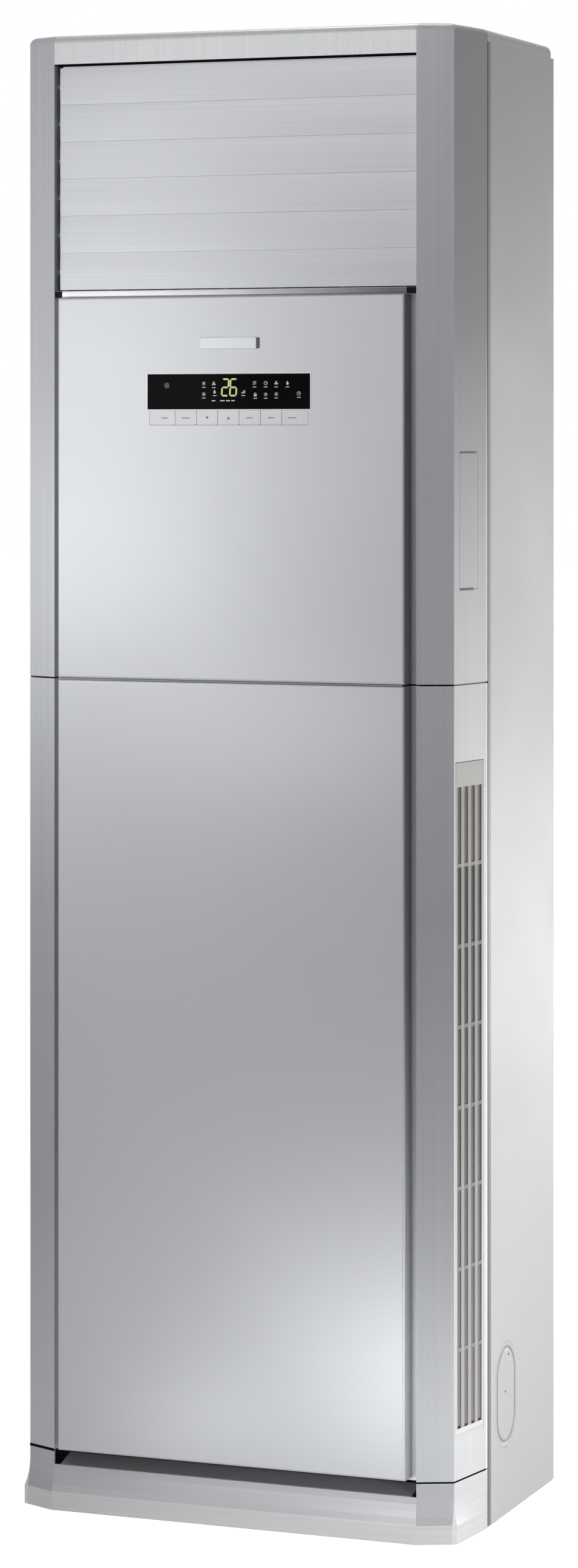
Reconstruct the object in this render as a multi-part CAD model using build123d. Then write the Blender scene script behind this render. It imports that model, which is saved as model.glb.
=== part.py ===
from build123d import *
import math
import os

# A floor standing cabinet air conditioner. Millimetres, +Z up, front towards -Y.
# The origin is on the floor, under the middle of the overall box.

# Overall size
HEIGHT = 1870.0
WIDTH = 601.0
DEPTH = 393.0

# Front: a raised centre panel between two bevelled columns, with splayed side strips
BADGE_PROUD = 1.2
PANEL_PROUD = 14.0
BEVEL_WIDTH = 42.4
BEVEL_SET_BACK = 19.0
STRIP_SPLAY = 14.8
STRIP_DEPTH = 85.3
SCREW_PROUD = 2.0

# Wall thicknesses
MOULDED = 2.5
SHEET = 1.2
PLATE = 1.5

# Heights of the seams and openings in the front
PLINTH_TOP = 74.0
PLINTH_MIDDLE_TOP = 57.0
FOOT_CREASE = 23.0
FOOT_FLARE = 6.5
SPLIT = 1055.0
SEAM = 2.0
OUTLET_LOW = 1545.5
OUTLET_HIGH = 1833.3
PANEL_LOW = 78.5
PANEL_HIGH = 1536.5
TOP_RADIUS = 10.0
REAR_TOP_RADIUS = 14.0
TOP_LIP = 16.0

# The front frame behind the panels
GROOVE_DEPTH = 12.0
GROOVE_FLANGE = 27.3
OUTLET_REVEAL = 44.0
REAR_FLANGE = 20.0
PANEL_GAP = 10.5
PANEL_SKIN = 2.0
PANEL_EDGE_RADIUS = 3.0

# Louvres: six horizontal slats, joined by a link at their left ends
LOUVRES = 6
LOUVRE_RECESS = 7.0
LOUVRE_AXIS_BACK = 9.0
LOUVRE_TOP_GAP = 4.0
LOUVRE_BOTTOM_GAP = 1.5
LOUVRE_SEAM = 0.6
LOUVRE_LIP = 2.0
LOUVRE_SKIN = 1.5
LOUVRE_LEFT = -235.0
LOUVRE_RIGHT = 241.0
LOUVRE_PLATE = 2.0
CRANK_RADIUS = 14.0
CRANK_ANGLE = 40.0
PIVOT_RADIUS = 3.0
CRANK_PIN_RADIUS = 1.5
RUNNING = 0.06
LINK_WIDTH = 7.5
LINK_THICKNESS = 3.0
LOUVRE_LINK_LEFT = -241.5

# Vanes: upright blades behind the louvres, joined by a link below them
VANES = 6
VANE_PITCH = 80.0
VANE_CHORD = 56.0
VANE_SPINE = 2.2
VANE_AXIS_BACK = 78.0
VANE_LOW = 1558.0
VANE_HIGH = 1821.0
VANE_CRANK = 20.0
VANE_LINK_LOW = 1551.5
VANE_LINK_THICKNESS = 2.5

# Air outlet duct
DUCT_WALL = 3.0
DUCT_BOTTOM = 1500.0
DUCT_REAR = 160.0
DUCT_THROAT = 122.0
DUCT_REAR_RADIUS = 110.0
DUCT_LIP_RADIUS = 20.0

# Stepper motors that turn the louvres and the vanes
STEPPER_RADIUS = 12.0
STEPPER_LENGTH = 15.0
STEPPER_OFFSET = 9.0
STEPPER_SHAFT = 1.5
STEPPER_SHAFT_REACH = 4.0
STEPPER_BORE_DEPTH = 5.0
DRIVEN_LOUVRE = 2
DRIVEN_VANE = 2

# Display window, its board and the row of keys under it
WINDOW_WIDTH = 217.4
WINDOW_LOW = 1395.5
WINDOW_HIGH = 1439.0
WINDOW_LENS = 3.0
KEYS = 7
KEY_PITCH = 28.6
KEY_ROW = 212.4
KEY_GAP = 0.6
KEY_LOW = 1375.8
KEY_HIGH = 1393.4
KEY_TRAVEL = 1.0
BOARD_BACK = 12.0
BOARD_LOW = 1364.0
BOARD_HIGH = 1449.0
BOARD_HALF = 124.0

# Blank badge plate
BADGE_WIDTH = 75.5
BADGE_LOW = 1470.3
BADGE_HIGH = 1484.9

# Blank cap in each side strip
CAP_START = 14.0
CAP_WIDTH = 47.0
CAP_LOW = 1172.0
CAP_HIGH = 1342.5

# Intake grille in each side strip, tilting out on two pins at its foot
GRILLE_START = 4.8
GRILLE_WIDTH = 70.4
GRILLE_LOW = 128.0
GRILLE_HIGH = 959.0
GRILLE_GAP = 0.8
GRILLE_SKIN = 4.0
GRILLE_DEPTH = 14.0
GRILLE_WALL = 2.0
GRILLE_PIVOT = 4.5
GRILLE_PIN_RADIUS = 2.0
GRILLE_PIN_LENGTH = 3.0
SLOT_COLUMNS = 4
SLOT_ROWS = 8
SLOT_WIDTH = 8.0
SLOT_PITCH = 17.5
SLOT_LOW = 138.5
SLOT_HIGH = 929.0
SLOT_RIB = 5.0

# Filter clipped in the back of each grille
FILTER_THICKNESS = 3.0
FILTER_BACK = 8.5
FILTER_BORDER = 4.0

# Pipe hole covers in the sides
PIPE_COVER_BACK = 177.3
PIPE_COVER_HEIGHT = 152.0
PIPE_COVER_TALL = 134.0
PIPE_COVER_WIDE = 86.0

# Base pan
PAN_HEIGHT = 13.5
PAN_FOOT = 15.5
ANCHOR_SPACING_X = 400.0
ANCHOR_SPACING_Y = 240.0
ANCHOR_RADIUS = 6.0

# Holes for the bracket that keeps the cabinet from tipping
WALL_HOLE_SPACING = 300.0
WALL_HOLE_HEIGHT = 1800.0
WALL_HOLE_RADIUS = 3.5

# Deck between the fan chamber and the coil chamber
DECK = 985.0
DECK_FLANGE = 12.0

# Centrifugal fan, facing the front
FAN_X = -25.0
FAN_Z = 520.0
SCROLL_FRONT = -50.0
SCROLL_REAR = 95.0
SCROLL_START_RADIUS = 178.0
SCROLL_END_RADIUS = 262.0
TONGUE_ANGLE = 65.0
INLET_THROAT = 138.0
WHEEL_RADIUS = 165.0
WHEEL_EYE = 136.0
WHEEL_FRONT = -36.0
WHEEL_REAR = 78.0
RING_THICKNESS = 2.5
BLADES = 22
BLADE_SWEEP = 9.0
BLADE_TURN = 0.55
HUB_RADIUS = 16.0
HUB_FRONT = 30.0
SHAFT_RADIUS = 6.0
MOTOR_RADIUS = 62.0
MOTOR_FRONT = 100.0
MOTOR_REAR = 168.0

# Evaporator, leaning back from foot to head
COIL_WIDTH = 450.0
COIL_THICKNESS = 44.0
COIL_LENGTH = 480.0
COIL_LEAN = 27.9
COIL_Y = 2.5
COIL_Z = 1247.5
TUBES = 12
TUBE_PITCH = 38.0
TUBE_RADIUS = 4.8

# Control box behind the upper front panel
BOX_LEFT = -100.0
BOX_RIGHT = 140.0
BOX_REAR = -113.0
BOX_LOW = 1090.0
BOX_HIGH = 1320.0

# Places worked out from the dimensions above
HALF_WIDTH = WIDTH / 2
Y_PANEL = -DEPTH / 2 + BADGE_PROUD
Y_FACE = Y_PANEL + PANEL_PROUD
Y_REAR = DEPTH / 2 - SCREW_PROUD
X_BEVEL_OUT = HALF_WIDTH - STRIP_SPLAY
X_BEVEL_IN = X_BEVEL_OUT - BEVEL_WIDTH
Y_BEVEL = Y_FACE + BEVEL_SET_BACK
Y_STRIP_END = Y_BEVEL + STRIP_DEPTH
X_PANEL = X_BEVEL_IN - PANEL_GAP
Y_GROOVE = Y_FACE + GROOVE_DEPTH
Y_REVEAL = Y_FACE + OUTLET_REVEAL
X_FLANGE = X_BEVEL_IN - GROOVE_FLANGE
LOUVRE_PITCH = (OUTLET_HIGH - OUTLET_LOW - LOUVRE_TOP_GAP - LOUVRE_BOTTOM_GAP) / LOUVRES
LOUVRE_Y = Y_FACE + LOUVRE_RECESS + LOUVRE_AXIS_BACK
VANE_Y = Y_FACE + VANE_AXIS_BACK
STRIP_LENGTH = math.hypot(STRIP_SPLAY, STRIP_DEPTH)
PIPE_COVER_Y = Y_FACE + PIPE_COVER_BACK

# The plan of the front, from the left strip's rear end round to the right one
FRONT_LINE = [
    (-HALF_WIDTH, Y_STRIP_END),
    (-X_BEVEL_OUT, Y_BEVEL),
    (-X_BEVEL_IN, Y_FACE),
    (X_BEVEL_IN, Y_FACE),
    (X_BEVEL_OUT, Y_BEVEL),
    (HALF_WIDTH, Y_STRIP_END),
]

# Right side strip: local x runs back along it, local y up, local z out of it
STRIP_PLANE = Plane(
    origin=(X_BEVEL_OUT, Y_BEVEL, 0),
    x_dir=(STRIP_SPLAY, STRIP_DEPTH, 0),
    z_dir=(STRIP_DEPTH, -STRIP_SPLAY, 0),
)

# Fan parts are drawn in the X and Z directions about the wheel's axis
FAN_PLANE = Plane(origin=(FAN_X, 0, FAN_Z), x_dir=(1, 0, 0), z_dir=(0, -1, 0))

os.makedirs("parts", exist_ok=True)


def save(name, shape):
    """Writes one sub-part."""
    shape.label = name
    export_step(shape, "parts/" + name + ".step")


def block(x_low, x_high, y_low, y_high, z_low, z_high):
    """A box given by its faces."""
    centre = Pos((x_low + x_high) / 2, (y_low + y_high) / 2, (z_low + z_high) / 2)
    return centre * Box(x_high - x_low, y_high - y_low, z_high - z_low)


def offset_line(points, distance):
    """A mitred copy of an open line, moved to the left of travel."""
    line = [Vector(*point) for point in points]
    moved = []
    for index, here in enumerate(line):
        normals = []
        if index > 0:
            way = (here - line[index - 1]).normalized()
            normals.append(Vector(-way.Y, way.X))
        if index < len(line) - 1:
            way = (line[index + 1] - here).normalized()
            normals.append(Vector(-way.Y, way.X))
        mitre = normals[0]
        if len(normals) == 2:
            mitre = (normals[0] + normals[1]) * (1 / (1 + normals[0].dot(normals[1])))
        moved.append((here.X + mitre.X * distance, here.Y + mitre.Y * distance))
    return moved


def folded_face(points, thickness):
    """Section of a folded sheet that lies to the left of the line."""
    inside = offset_line(points, thickness)
    return make_face(Polyline(*points, *reversed(inside), close=True))


def upright(face, low, high):
    """Extrudes a plan section between two heights."""
    return extrude(Pos(0, 0, low) * face, high - low, dir=(0, 0, 1))


def across(face, low, high):
    """Extrudes a side section, drawn as (Y, Z), between two X places."""
    return extrude(Pos(low, 0, 0) * (Plane.YZ * face), high - low, dir=(1, 0, 0))


def backward(face, low, high):
    """Extrudes a front section, drawn as (X, Z) about the fan's axis, between two Y places."""
    return extrude(Pos(0, low, 0) * (FAN_PLANE * face), high - low, dir=(0, 1, 0))


def on_strip(start, width, low, high, inner, outer):
    """A block on the right side strip, given along it, up it and out of it."""
    centre = Pos(start + width / 2, (low + high) / 2, (inner + outer) / 2)
    return STRIP_PLANE * centre * Box(width, high - low, outer - inner)


def eye(radius):
    """An eight-sided hole for a round pin: its flats clear the pin all round."""
    return RegularPolygon(radius + RUNNING, 8, major_radius=False)


def repeated_pin(radius):
    """Section of a small moulded pin that repeats and carries no joint of its own: ten sides."""
    return RegularPolygon(radius, 10)


def other_side(shape):
    """The left-hand copy of a right-hand piece."""
    return mirror(shape, about=Plane.YZ)


def strip_point(along, height, out):
    """A point on the right side strip, in the part's own frame."""
    return STRIP_PLANE.from_local_coords((along, height, out))


# Cabinet ------------------------------------------------------------------------------


def foot_line():
    """The plan line of the flared foot, which fades into the strips' rear ends."""
    line = offset_line(FRONT_LINE, -FOOT_FLARE)
    return [FRONT_LINE[0], *line[1:-1], FRONT_LINE[-1]]


def flare_line(share):
    """A plan line part of the way from the front line to the foot line."""
    pairs = zip(FRONT_LINE, foot_line())
    return [(a[0] + share * (b[0] - a[0]), a[1] + share * (b[1] - a[1])) for a, b in pairs]


def plinth_body(inset):
    """Plinth as a solid: upright wall, hollow flare and upright foot, drawn in by an inset."""
    rear = Y_STRIP_END + inset * 4
    flare_sections = []
    steps = 4
    for step in range(steps + 1):
        share = (step / steps) ** 2
        height = PLINTH_MIDDLE_TOP + (FOOT_CREASE - PLINTH_MIDDLE_TOP) * step / steps
        line = offset_line(flare_line(share), inset)
        if inset:
            line = [(line[0][0], rear), *line, (line[-1][0], rear)]
        flare_sections.append(Pos(0, 0, height) * make_face(Polyline(*line, close=True)))
    wall = extrude(flare_sections[0], PLINTH_TOP - PLINTH_MIDDLE_TOP, dir=(0, 0, 1))
    foot = extrude(flare_sections[-1], FOOT_CREASE, dir=(0, 0, -1))
    body = wall + foot
    for upper, lower in zip(flare_sections[:-1], flare_sections[1:]):
        body += loft([upper, lower], ruled=True)
    return body


def base_skirt():
    """Plinth moulding round the front, lower in the middle to leave the slot under the panel."""
    skirt = plinth_body(0) - plinth_body(MOULDED)
    skirt -= block(-X_BEVEL_IN, X_BEVEL_IN, Y_FACE - 9, Y_FACE + 9, PLINTH_MIDDLE_TOP, PLINTH_TOP)
    skirt -= block(-HALF_WIDTH, HALF_WIDTH, Y_STRIP_END, 0, 0, PLINTH_TOP)
    hollow = Pos(0, 0, -1) * plinth_body(MOULDED)
    return skirt - hollow


def base_pan():
    """Pressed steel pan on a turned-in foot, with four floor anchor holes."""
    front = offset_line(foot_line(), MOULDED)
    side = HALF_WIDTH - SHEET
    rear = Y_REAR - 2 * SHEET
    step = Y_STRIP_END + 3
    front = [(-side, step), (front[0][0], step), *front, (front[-1][0], step), (side, step)]
    outline = make_face(Polyline(*front, (side, rear), (-side, rear), close=True))
    hollow = offset(outline, -PLATE, kind=Kind.INTERSECTION)
    mouth = offset(outline, -PAN_FOOT, kind=Kind.INTERSECTION)
    pan = upright(outline, 0, PAN_HEIGHT)
    pan -= upright(hollow, PLATE, PAN_HEIGHT - PLATE)
    pan -= upright(mouth, 0, PLATE)
    for x in (-ANCHOR_SPACING_X / 2, ANCHOR_SPACING_X / 2):
        for y in (-ANCHOR_SPACING_Y / 2, ANCHOR_SPACING_Y / 2):
            pan -= Pos(x, y, PAN_HEIGHT) * Cylinder(ANCHOR_RADIUS, 4 * PLATE)
    return pan


def side_panel():
    """Right side sheet, folded in at the front with a joggle, and in at the rear."""
    joggle = HALF_WIDTH - 3.2
    line = [
        (HALF_WIDTH - 22.5, Y_STRIP_END),
        (joggle, Y_STRIP_END),
        (joggle, Y_STRIP_END + 2.8),
        (HALF_WIDTH, Y_STRIP_END + 2.8),
        (HALF_WIDTH, Y_REAR),
        (HALF_WIDTH - 16.5, Y_REAR),
    ]
    panel = upright(folded_face(line, SHEET), 2, HEIGHT - TOP_LIP)
    inner = HALF_WIDTH - SHEET
    panel -= block(inner - 30, inner, Y_STRIP_END - 1, Y_STRIP_END + 5, 0, PAN_HEIGHT + 1)
    hole = Rot(0, 0, 90) * SlotOverall(PIPE_COVER_TALL, PIPE_COVER_WIDE)
    panel -= across(Pos(PIPE_COVER_Y, PIPE_COVER_HEIGHT) * hole, inner - 1, HALF_WIDTH + 1)
    return panel


def pipe_cover():
    """Plug for the right pipe hole, flush outside, with a wider flange behind the sheet."""
    gap = 0.8
    flange = 12.0
    plug = Rot(0, 0, 90) * SlotOverall(PIPE_COVER_TALL - gap, PIPE_COVER_WIDE - gap)
    rim = Rectangle(PIPE_COVER_WIDE + flange, PIPE_COVER_TALL + flange)
    place = Pos(PIPE_COVER_Y, PIPE_COVER_HEIGHT)
    outside = HALF_WIDTH
    cover = across(place * plug, outside - SHEET, outside)
    return cover + across(place * rim, outside - 2 * SHEET, outside - SHEET)


def back_panel():
    """Rear sheet behind the side folds, with pressed beads and the wall bracket holes."""
    outer = Y_REAR - SHEET
    panel = block(-296, 296, outer - SHEET, outer, 3, HEIGHT - TOP_LIP - 2)
    bead_length = 430.0
    bead_width = 16.0
    for height in (330, 760, 1190, 1620):
        panel += bead(bead_length, bead_width, height, outer, outer + SHEET)
        panel -= bead(bead_length - 2.4, bead_width - 2.4, height, outer - SHEET, outer)
    for x in (-WALL_HOLE_SPACING / 2, WALL_HOLE_SPACING / 2):
        hole = Rot(90, 0, 0) * Cylinder(WALL_HOLE_RADIUS, 8)
        panel -= Pos(x, outer, WALL_HOLE_HEIGHT) * hole
    return panel


def bead(length, width, height, low, high):
    """A level bead with pointed ends at a height, between two Y places."""
    end = length / 2
    half = width / 2
    right = ((end - half, -half), (end, 0), (end - half, half))
    left = [(-x, -z) for x, z in right]
    face = Plane(origin=(0, low, height), x_dir=(1, 0, 0), z_dir=(0, -1, 0))
    outline = face * make_face(Polyline(*right, *left, close=True))
    return extrude(outline, high - low, dir=(0, 1, 0))


def lid_body(inset):
    """The top cover's outside, or its hollow when it is drawn in by an inset."""
    side = HALF_WIDTH - inset
    rear = Y_REAR - inset
    front = Y_STRIP_END + 0.8 - 4 * inset
    body = block(-side, side, front, rear, HEIGHT - TOP_LIP - inset, HEIGHT - inset)
    top_edges = body.edges().filter_by(Axis.Y).group_by(Axis.Z)[-1]
    if inset:
        return chamfer(top_edges, (TOP_RADIUS - inset) * 0.6)
    body = fillet(top_edges, TOP_RADIUS)
    rear_edge = body.faces().sort_by(Axis.Y)[-1].edges().sort_by(Axis.Z)[-1]
    return fillet(rear_edge, REAR_TOP_RADIUS)


def top_cover():
    """Pressed lid over the cabinet, with a lip down to the side sheets."""
    return lid_body(0) - lid_body(SHEET)


def case_screws():
    """Hexagon screw heads down both rear folds."""
    heads = []
    for side in (-1, 1):
        for height in (70, 500, 930, 1360, 1800):
            seat = Plane(origin=(side * (HALF_WIDTH - 9), Y_REAR, height), z_dir=(0, 1, 0))
            heads.append(extrude(seat * RegularPolygon(4.5, 6), SCREW_PROUD))
    return Compound(children=heads)


# Front frames -------------------------------------------------------------------------


def column_line(reveal):
    """Plan line of the right column, from its inner flange or reveal to its rear fold."""
    rest = [
        (X_BEVEL_IN, Y_FACE),
        (X_BEVEL_OUT, Y_BEVEL),
        (HALF_WIDTH, Y_STRIP_END),
        (HALF_WIDTH - REAR_FLANGE, Y_STRIP_END),
    ]
    if reveal:
        return [(X_BEVEL_IN, Y_REVEAL), *rest]
    return [(X_FLANGE, Y_GROOVE), (X_BEVEL_IN, Y_GROOVE), *rest]


def head_body(inset):
    """The rounded head of the front frame as a solid, or its hollow."""
    line = offset_line(FRONT_LINE, inset)
    rear = Y_STRIP_END + 8 * inset
    line = [(line[0][0], rear), *line[1:-1], (line[-1][0], rear)]
    if inset:
        line = [line[0], offset_line(FRONT_LINE, inset)[0], *line[1:-1]] + [
            offset_line(FRONT_LINE, inset)[-1],
            line[-1],
        ]
    low = OUTLET_HIGH - inset
    body = upright(make_face(Polyline(*line, close=True)), low, HEIGHT - inset)
    top = body.faces().sort_by(Axis.Z)[-1]
    edges = [edge for edge in top.edges() if edge.center().Y < rear - 0.1]
    if inset:
        return chamfer(edges, (TOP_RADIUS - inset) * 0.6)
    return fillet(edges, TOP_RADIUS)


def outlet_sill():
    """Ledge between the louvres and the centre panel, with a drain opening at each end."""
    line = [
        (Y_REVEAL, OUTLET_LOW),
        (Y_FACE + 3, OUTLET_LOW),
        (Y_FACE + 3, PANEL_HIGH + 1.5),
        (Y_GROOVE, PANEL_HIGH + 1.5),
        (Y_GROOVE, 1500),
    ]
    sill = across(folded_face(line, MOULDED), -X_BEVEL_IN, X_BEVEL_IN)
    low = OUTLET_LOW - MOULDED - 3.4
    for x in (-X_BEVEL_IN + 5, X_BEVEL_IN - 5):
        sill -= block(x - 4, x + 4, Y_FACE, Y_FACE + 8, low, OUTLET_LOW - MOULDED)
    return sill


def upper_front_frame():
    """Front moulding from the split to the top: columns, strips, head, outlet reveal and rails."""
    sill = OUTLET_LOW - MOULDED
    lower = upright(folded_face(column_line(False), MOULDED), SPLIT + SEAM / 2, sill)
    upper = upright(folded_face(column_line(True), MOULDED), sill, HEIGHT - 12)
    cap_hole = on_strip(CAP_START, CAP_WIDTH, CAP_LOW, CAP_HIGH, -9, 9)
    column = lower + upper - cap_hole
    for index in range(LOUVRES):
        pivot = Pos(LOUVRE_Y, louvre_height(index)) * eye(PIVOT_RADIUS)
        column -= across(pivot, X_BEVEL_IN - 1, X_BEVEL_IN + MOULDED + 1)
    frame = column + other_side(column)
    frame += head_body(0) - head_body(MOULDED)
    inside = X_BEVEL_IN
    frame += block(-inside, inside, Y_FACE, Y_REVEAL, OUTLET_HIGH, OUTLET_HIGH + MOULDED)
    frame += outlet_sill()
    low = SPLIT + SEAM / 2
    frame += block(-inside, inside, Y_GROOVE, Y_GROOVE + MOULDED, low, low + 30)
    for x in (-195, 195):
        lap = block(x - 15, x + 15, Y_GROOVE + MOULDED, Y_GROOVE + 2 * MOULDED, low - 16, low + 30)
        frame += lap
    return frame


def grille_boss(start, width):
    """Bearing block for one of the grille's pins, behind the right strip."""
    low = GRILLE_LOW + GRILLE_PIVOT
    boss = on_strip(start, width, low - 5, low + 5, -9, -1)
    pin_hole = Plane(
        origin=strip_point(start + width / 2, low, -GRILLE_PIVOT),
        x_dir=(0, 0, 1),
        z_dir=(STRIP_SPLAY, STRIP_DEPTH, 0),
    )
    hole = extrude(pin_hole * eye(GRILLE_PIN_RADIUS), width / 2, both=True)
    return boss, hole


def lower_front_frame():
    """Front moulding from the plinth to the split, with the intake opening in each strip."""
    low = PLINTH_TOP + SEAM / 2
    high = SPLIT - SEAM / 2
    column = upright(folded_face(column_line(False), MOULDED), low, high)
    gap = GRILLE_GAP
    front_boss, front_hole = grille_boss(-1.5, GRILLE_START - gap + 1.5)
    rear_start = GRILLE_START + GRILLE_WIDTH + gap
    rear_boss, rear_hole = grille_boss(rear_start, 5)
    column += front_boss
    column += rear_boss
    column -= on_strip(
        GRILLE_START - gap, GRILLE_WIDTH + 2 * gap, GRILLE_LOW - gap, GRILLE_HIGH + gap, -9, 9
    )
    column -= front_hole
    column -= rear_hole
    frame = column + other_side(column)
    inside = X_BEVEL_IN
    rear = Y_GROOVE + MOULDED
    frame += block(-inside, inside, Y_GROOVE, rear, PANEL_LOW + 4, PANEL_LOW + 32)
    frame += block(-inside, inside, Y_GROOVE, rear, high - 30, high)
    return frame


def panel_tray(low, high):
    """A centre panel: rounded face with returns back to the frame."""
    body = block(-X_PANEL, X_PANEL, Y_PANEL, Y_GROOVE, low, high)
    face = body.faces().sort_by(Axis.Y)[0]
    body = fillet(face.edges(), PANEL_EDGE_RADIUS)
    skin = PANEL_SKIN
    hollow = block(-X_PANEL + skin, X_PANEL - skin, Y_PANEL + skin, Y_GROOVE, low + skin, high - skin)
    return body - hollow


def upper_centre_panel():
    """Raised panel with the display window, the key slot and the posts of the board."""
    panel = panel_tray(SPLIT + SEAM / 2, PANEL_HIGH)
    half = WINDOW_WIDTH / 2 + 0.3
    panel -= block(-half, half, Y_PANEL - 1, Y_PANEL + 5, WINDOW_LOW - 0.3, WINDOW_HIGH + 0.3)
    half = KEY_ROW / 2 + 0.3
    panel -= block(-half, half, Y_PANEL - 1, Y_PANEL + 5, KEY_LOW - 0.5, KEY_HIGH + 0.5)
    length = BOARD_BACK - PANEL_SKIN
    for x in (-BOARD_HALF + 4, BOARD_HALF - 4):
        for z in (BOARD_LOW + 4, BOARD_HIGH - 4):
            root = Y_PANEL + PANEL_SKIN
            panel += block(x - 3, x + 3, root, root + length, z - 3, z + 3)
    return panel


def display_window():
    """Dark lens, flush in the panel, with a flange behind it."""
    half = WINDOW_WIDTH / 2
    face = Y_PANEL + 0.3
    back = Y_PANEL + PANEL_SKIN
    lens = block(-half, half, face, back, WINDOW_LOW, WINDOW_HIGH)
    lens = chamfer(lens.edges().filter_by(Axis.Y), 0.7)
    lens += block(-half - 2, half + 2, back, back + PLATE, WINDOW_LOW - 1.2, WINDOW_HIGH + 2)
    return lens


def display_board():
    """Circuit board with the digit block and one small switch behind each key."""
    front = Y_PANEL + BOARD_BACK
    board = block(-BOARD_HALF, BOARD_HALF, front, front + 1.6, BOARD_LOW, BOARD_HIGH)
    board += block(-30, 30, front - 6, front, 1404, 1430)
    middle = (KEY_LOW + KEY_HIGH) / 2
    for index in range(KEYS):
        x = key_x(index)
        board += block(x - 3, x + 3, front - 3.5, front, middle - 3, middle + 3)
    return board


def key_x(index):
    """Where a key sits across the panel."""
    return (index - (KEYS - 1) / 2) * KEY_PITCH


def key(index):
    """One key: cap, retaining edge and stem down to its switch. The end keys are wider."""
    x = key_x(index)
    left = -KEY_ROW / 2 if index == 0 else x - (KEY_PITCH - KEY_GAP) / 2
    right = KEY_ROW / 2 if index == KEYS - 1 else x + (KEY_PITCH - KEY_GAP) / 2
    cap = block(left, right, Y_PANEL + 0.2, Y_PANEL + 2.6, KEY_LOW, KEY_HIGH)
    cap = chamfer(cap.edges().filter_by(Axis.Y), 0.7)
    cap += block(left, right, Y_PANEL + 2.4, Y_PANEL + 3.6, KEY_LOW - 0.5, KEY_HIGH + 0.5)
    edge = block(x - 10, x + 10, Y_PANEL + 2.4, Y_PANEL + 3.6, KEY_LOW - 1.8, KEY_HIGH + 0.5)
    middle = (KEY_LOW + KEY_HIGH) / 2
    stem = block(x - 2, x + 2, Y_PANEL + 3.5, Y_PANEL + 7.2, middle - 2, middle + 2)
    return cap + edge + stem


def badge_plate():
    """Blank plate on the upper panel, with bevelled edges."""
    half = BADGE_WIDTH / 2
    plate = block(-half, half, Y_PANEL - BADGE_PROUD, Y_PANEL, BADGE_LOW, BADGE_HIGH)
    return chamfer(plate.faces().sort_by(Axis.Y)[0].edges(), 0.5)


def side_cap():
    """Blank cap in the right strip, flush outside, with a lip behind the moulding."""
    gap = 0.4
    width = CAP_WIDTH - 2 * gap
    cap = on_strip(CAP_START + gap, width, CAP_LOW + gap, CAP_HIGH - gap, -MOULDED, 0)
    lip = on_strip(
        CAP_START - 4, CAP_WIDTH + 8, CAP_LOW - 4, CAP_HIGH + 4, -MOULDED - SHEET, -MOULDED
    )
    return cap + lip


# Intake grilles -----------------------------------------------------------------------


def intake_grille():
    """Right grille: a tray with rows of upright slots and a pin at each side of its foot."""
    end = GRILLE_START + GRILLE_WIDTH
    tray = on_strip(GRILLE_START, GRILLE_WIDTH, GRILLE_LOW, GRILLE_HIGH, -GRILLE_DEPTH, 0)
    foot = strip_point(GRILLE_START + GRILLE_WIDTH / 2, GRILLE_LOW, 0)
    foot_edge = tray.edges().sort_by_distance(foot)[0]
    tray = fillet(foot_edge, GRILLE_PIVOT)
    wall = GRILLE_WALL
    tray -= on_strip(
        GRILLE_START + wall,
        GRILLE_WIDTH - 2 * wall,
        GRILLE_LOW + 2.5 * wall,
        GRILLE_HIGH - wall,
        -GRILLE_DEPTH,
        -GRILLE_SKIN,
    )
    middle = GRILLE_START + GRILLE_WIDTH / 2
    row_pitch = (SLOT_HIGH - SLOT_LOW + SLOT_RIB) / SLOT_ROWS
    for column in range(SLOT_COLUMNS):
        start = middle + (column - (SLOT_COLUMNS - 1) / 2) * SLOT_PITCH - SLOT_WIDTH / 2
        for row in range(SLOT_ROWS):
            low = SLOT_LOW + row * row_pitch
            high = low + row_pitch - SLOT_RIB
            tray -= on_strip(start, SLOT_WIDTH, low, high, -GRILLE_SKIN - 1, 1)
    pin_length = GRILLE_WIDTH + 2 * GRILLE_PIN_LENGTH
    for start in (GRILLE_START - GRILLE_PIN_LENGTH, end - wall):
        length = GRILLE_PIN_LENGTH + wall
        pin_plane = Plane(
            origin=strip_point(start + length / 2, GRILLE_LOW + GRILLE_PIVOT, -GRILLE_PIVOT),
            x_dir=(0, 0, 1),
            z_dir=(STRIP_SPLAY, STRIP_DEPTH, 0),
        )
        tray += pin_plane * Cylinder(GRILLE_PIN_RADIUS, length)
    return tray


def air_filter():
    """Frame of the right filter, with a bar behind each rib of the grille."""
    start = GRILLE_START + GRILLE_WALL
    width = GRILLE_WIDTH - 2 * GRILLE_WALL
    outer = -FILTER_BACK
    inner = outer - FILTER_THICKNESS
    low = SLOT_LOW - 2
    high = SLOT_HIGH + 2
    border = FILTER_BORDER
    frame = on_strip(start, width, low, high, inner, outer)
    row_pitch = (SLOT_HIGH - SLOT_LOW + SLOT_RIB) / SLOT_ROWS
    for row in range(SLOT_ROWS):
        cell_low = SLOT_LOW + row * row_pitch
        cell_high = cell_low + row_pitch - SLOT_RIB
        frame -= on_strip(start + border, width - 2 * border, cell_low, cell_high, inner - 1, outer + 1)
    return frame


# Outlet -------------------------------------------------------------------------------


def louvre_height(index):
    """Height of a louvre's axis; the first is the top one."""
    cell = OUTLET_LOW + LOUVRE_BOTTOM_GAP + (LOUVRES - 1 - index) * LOUVRE_PITCH
    return cell + (LOUVRE_PITCH - LOUVRE_SEAM) / 2


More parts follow.
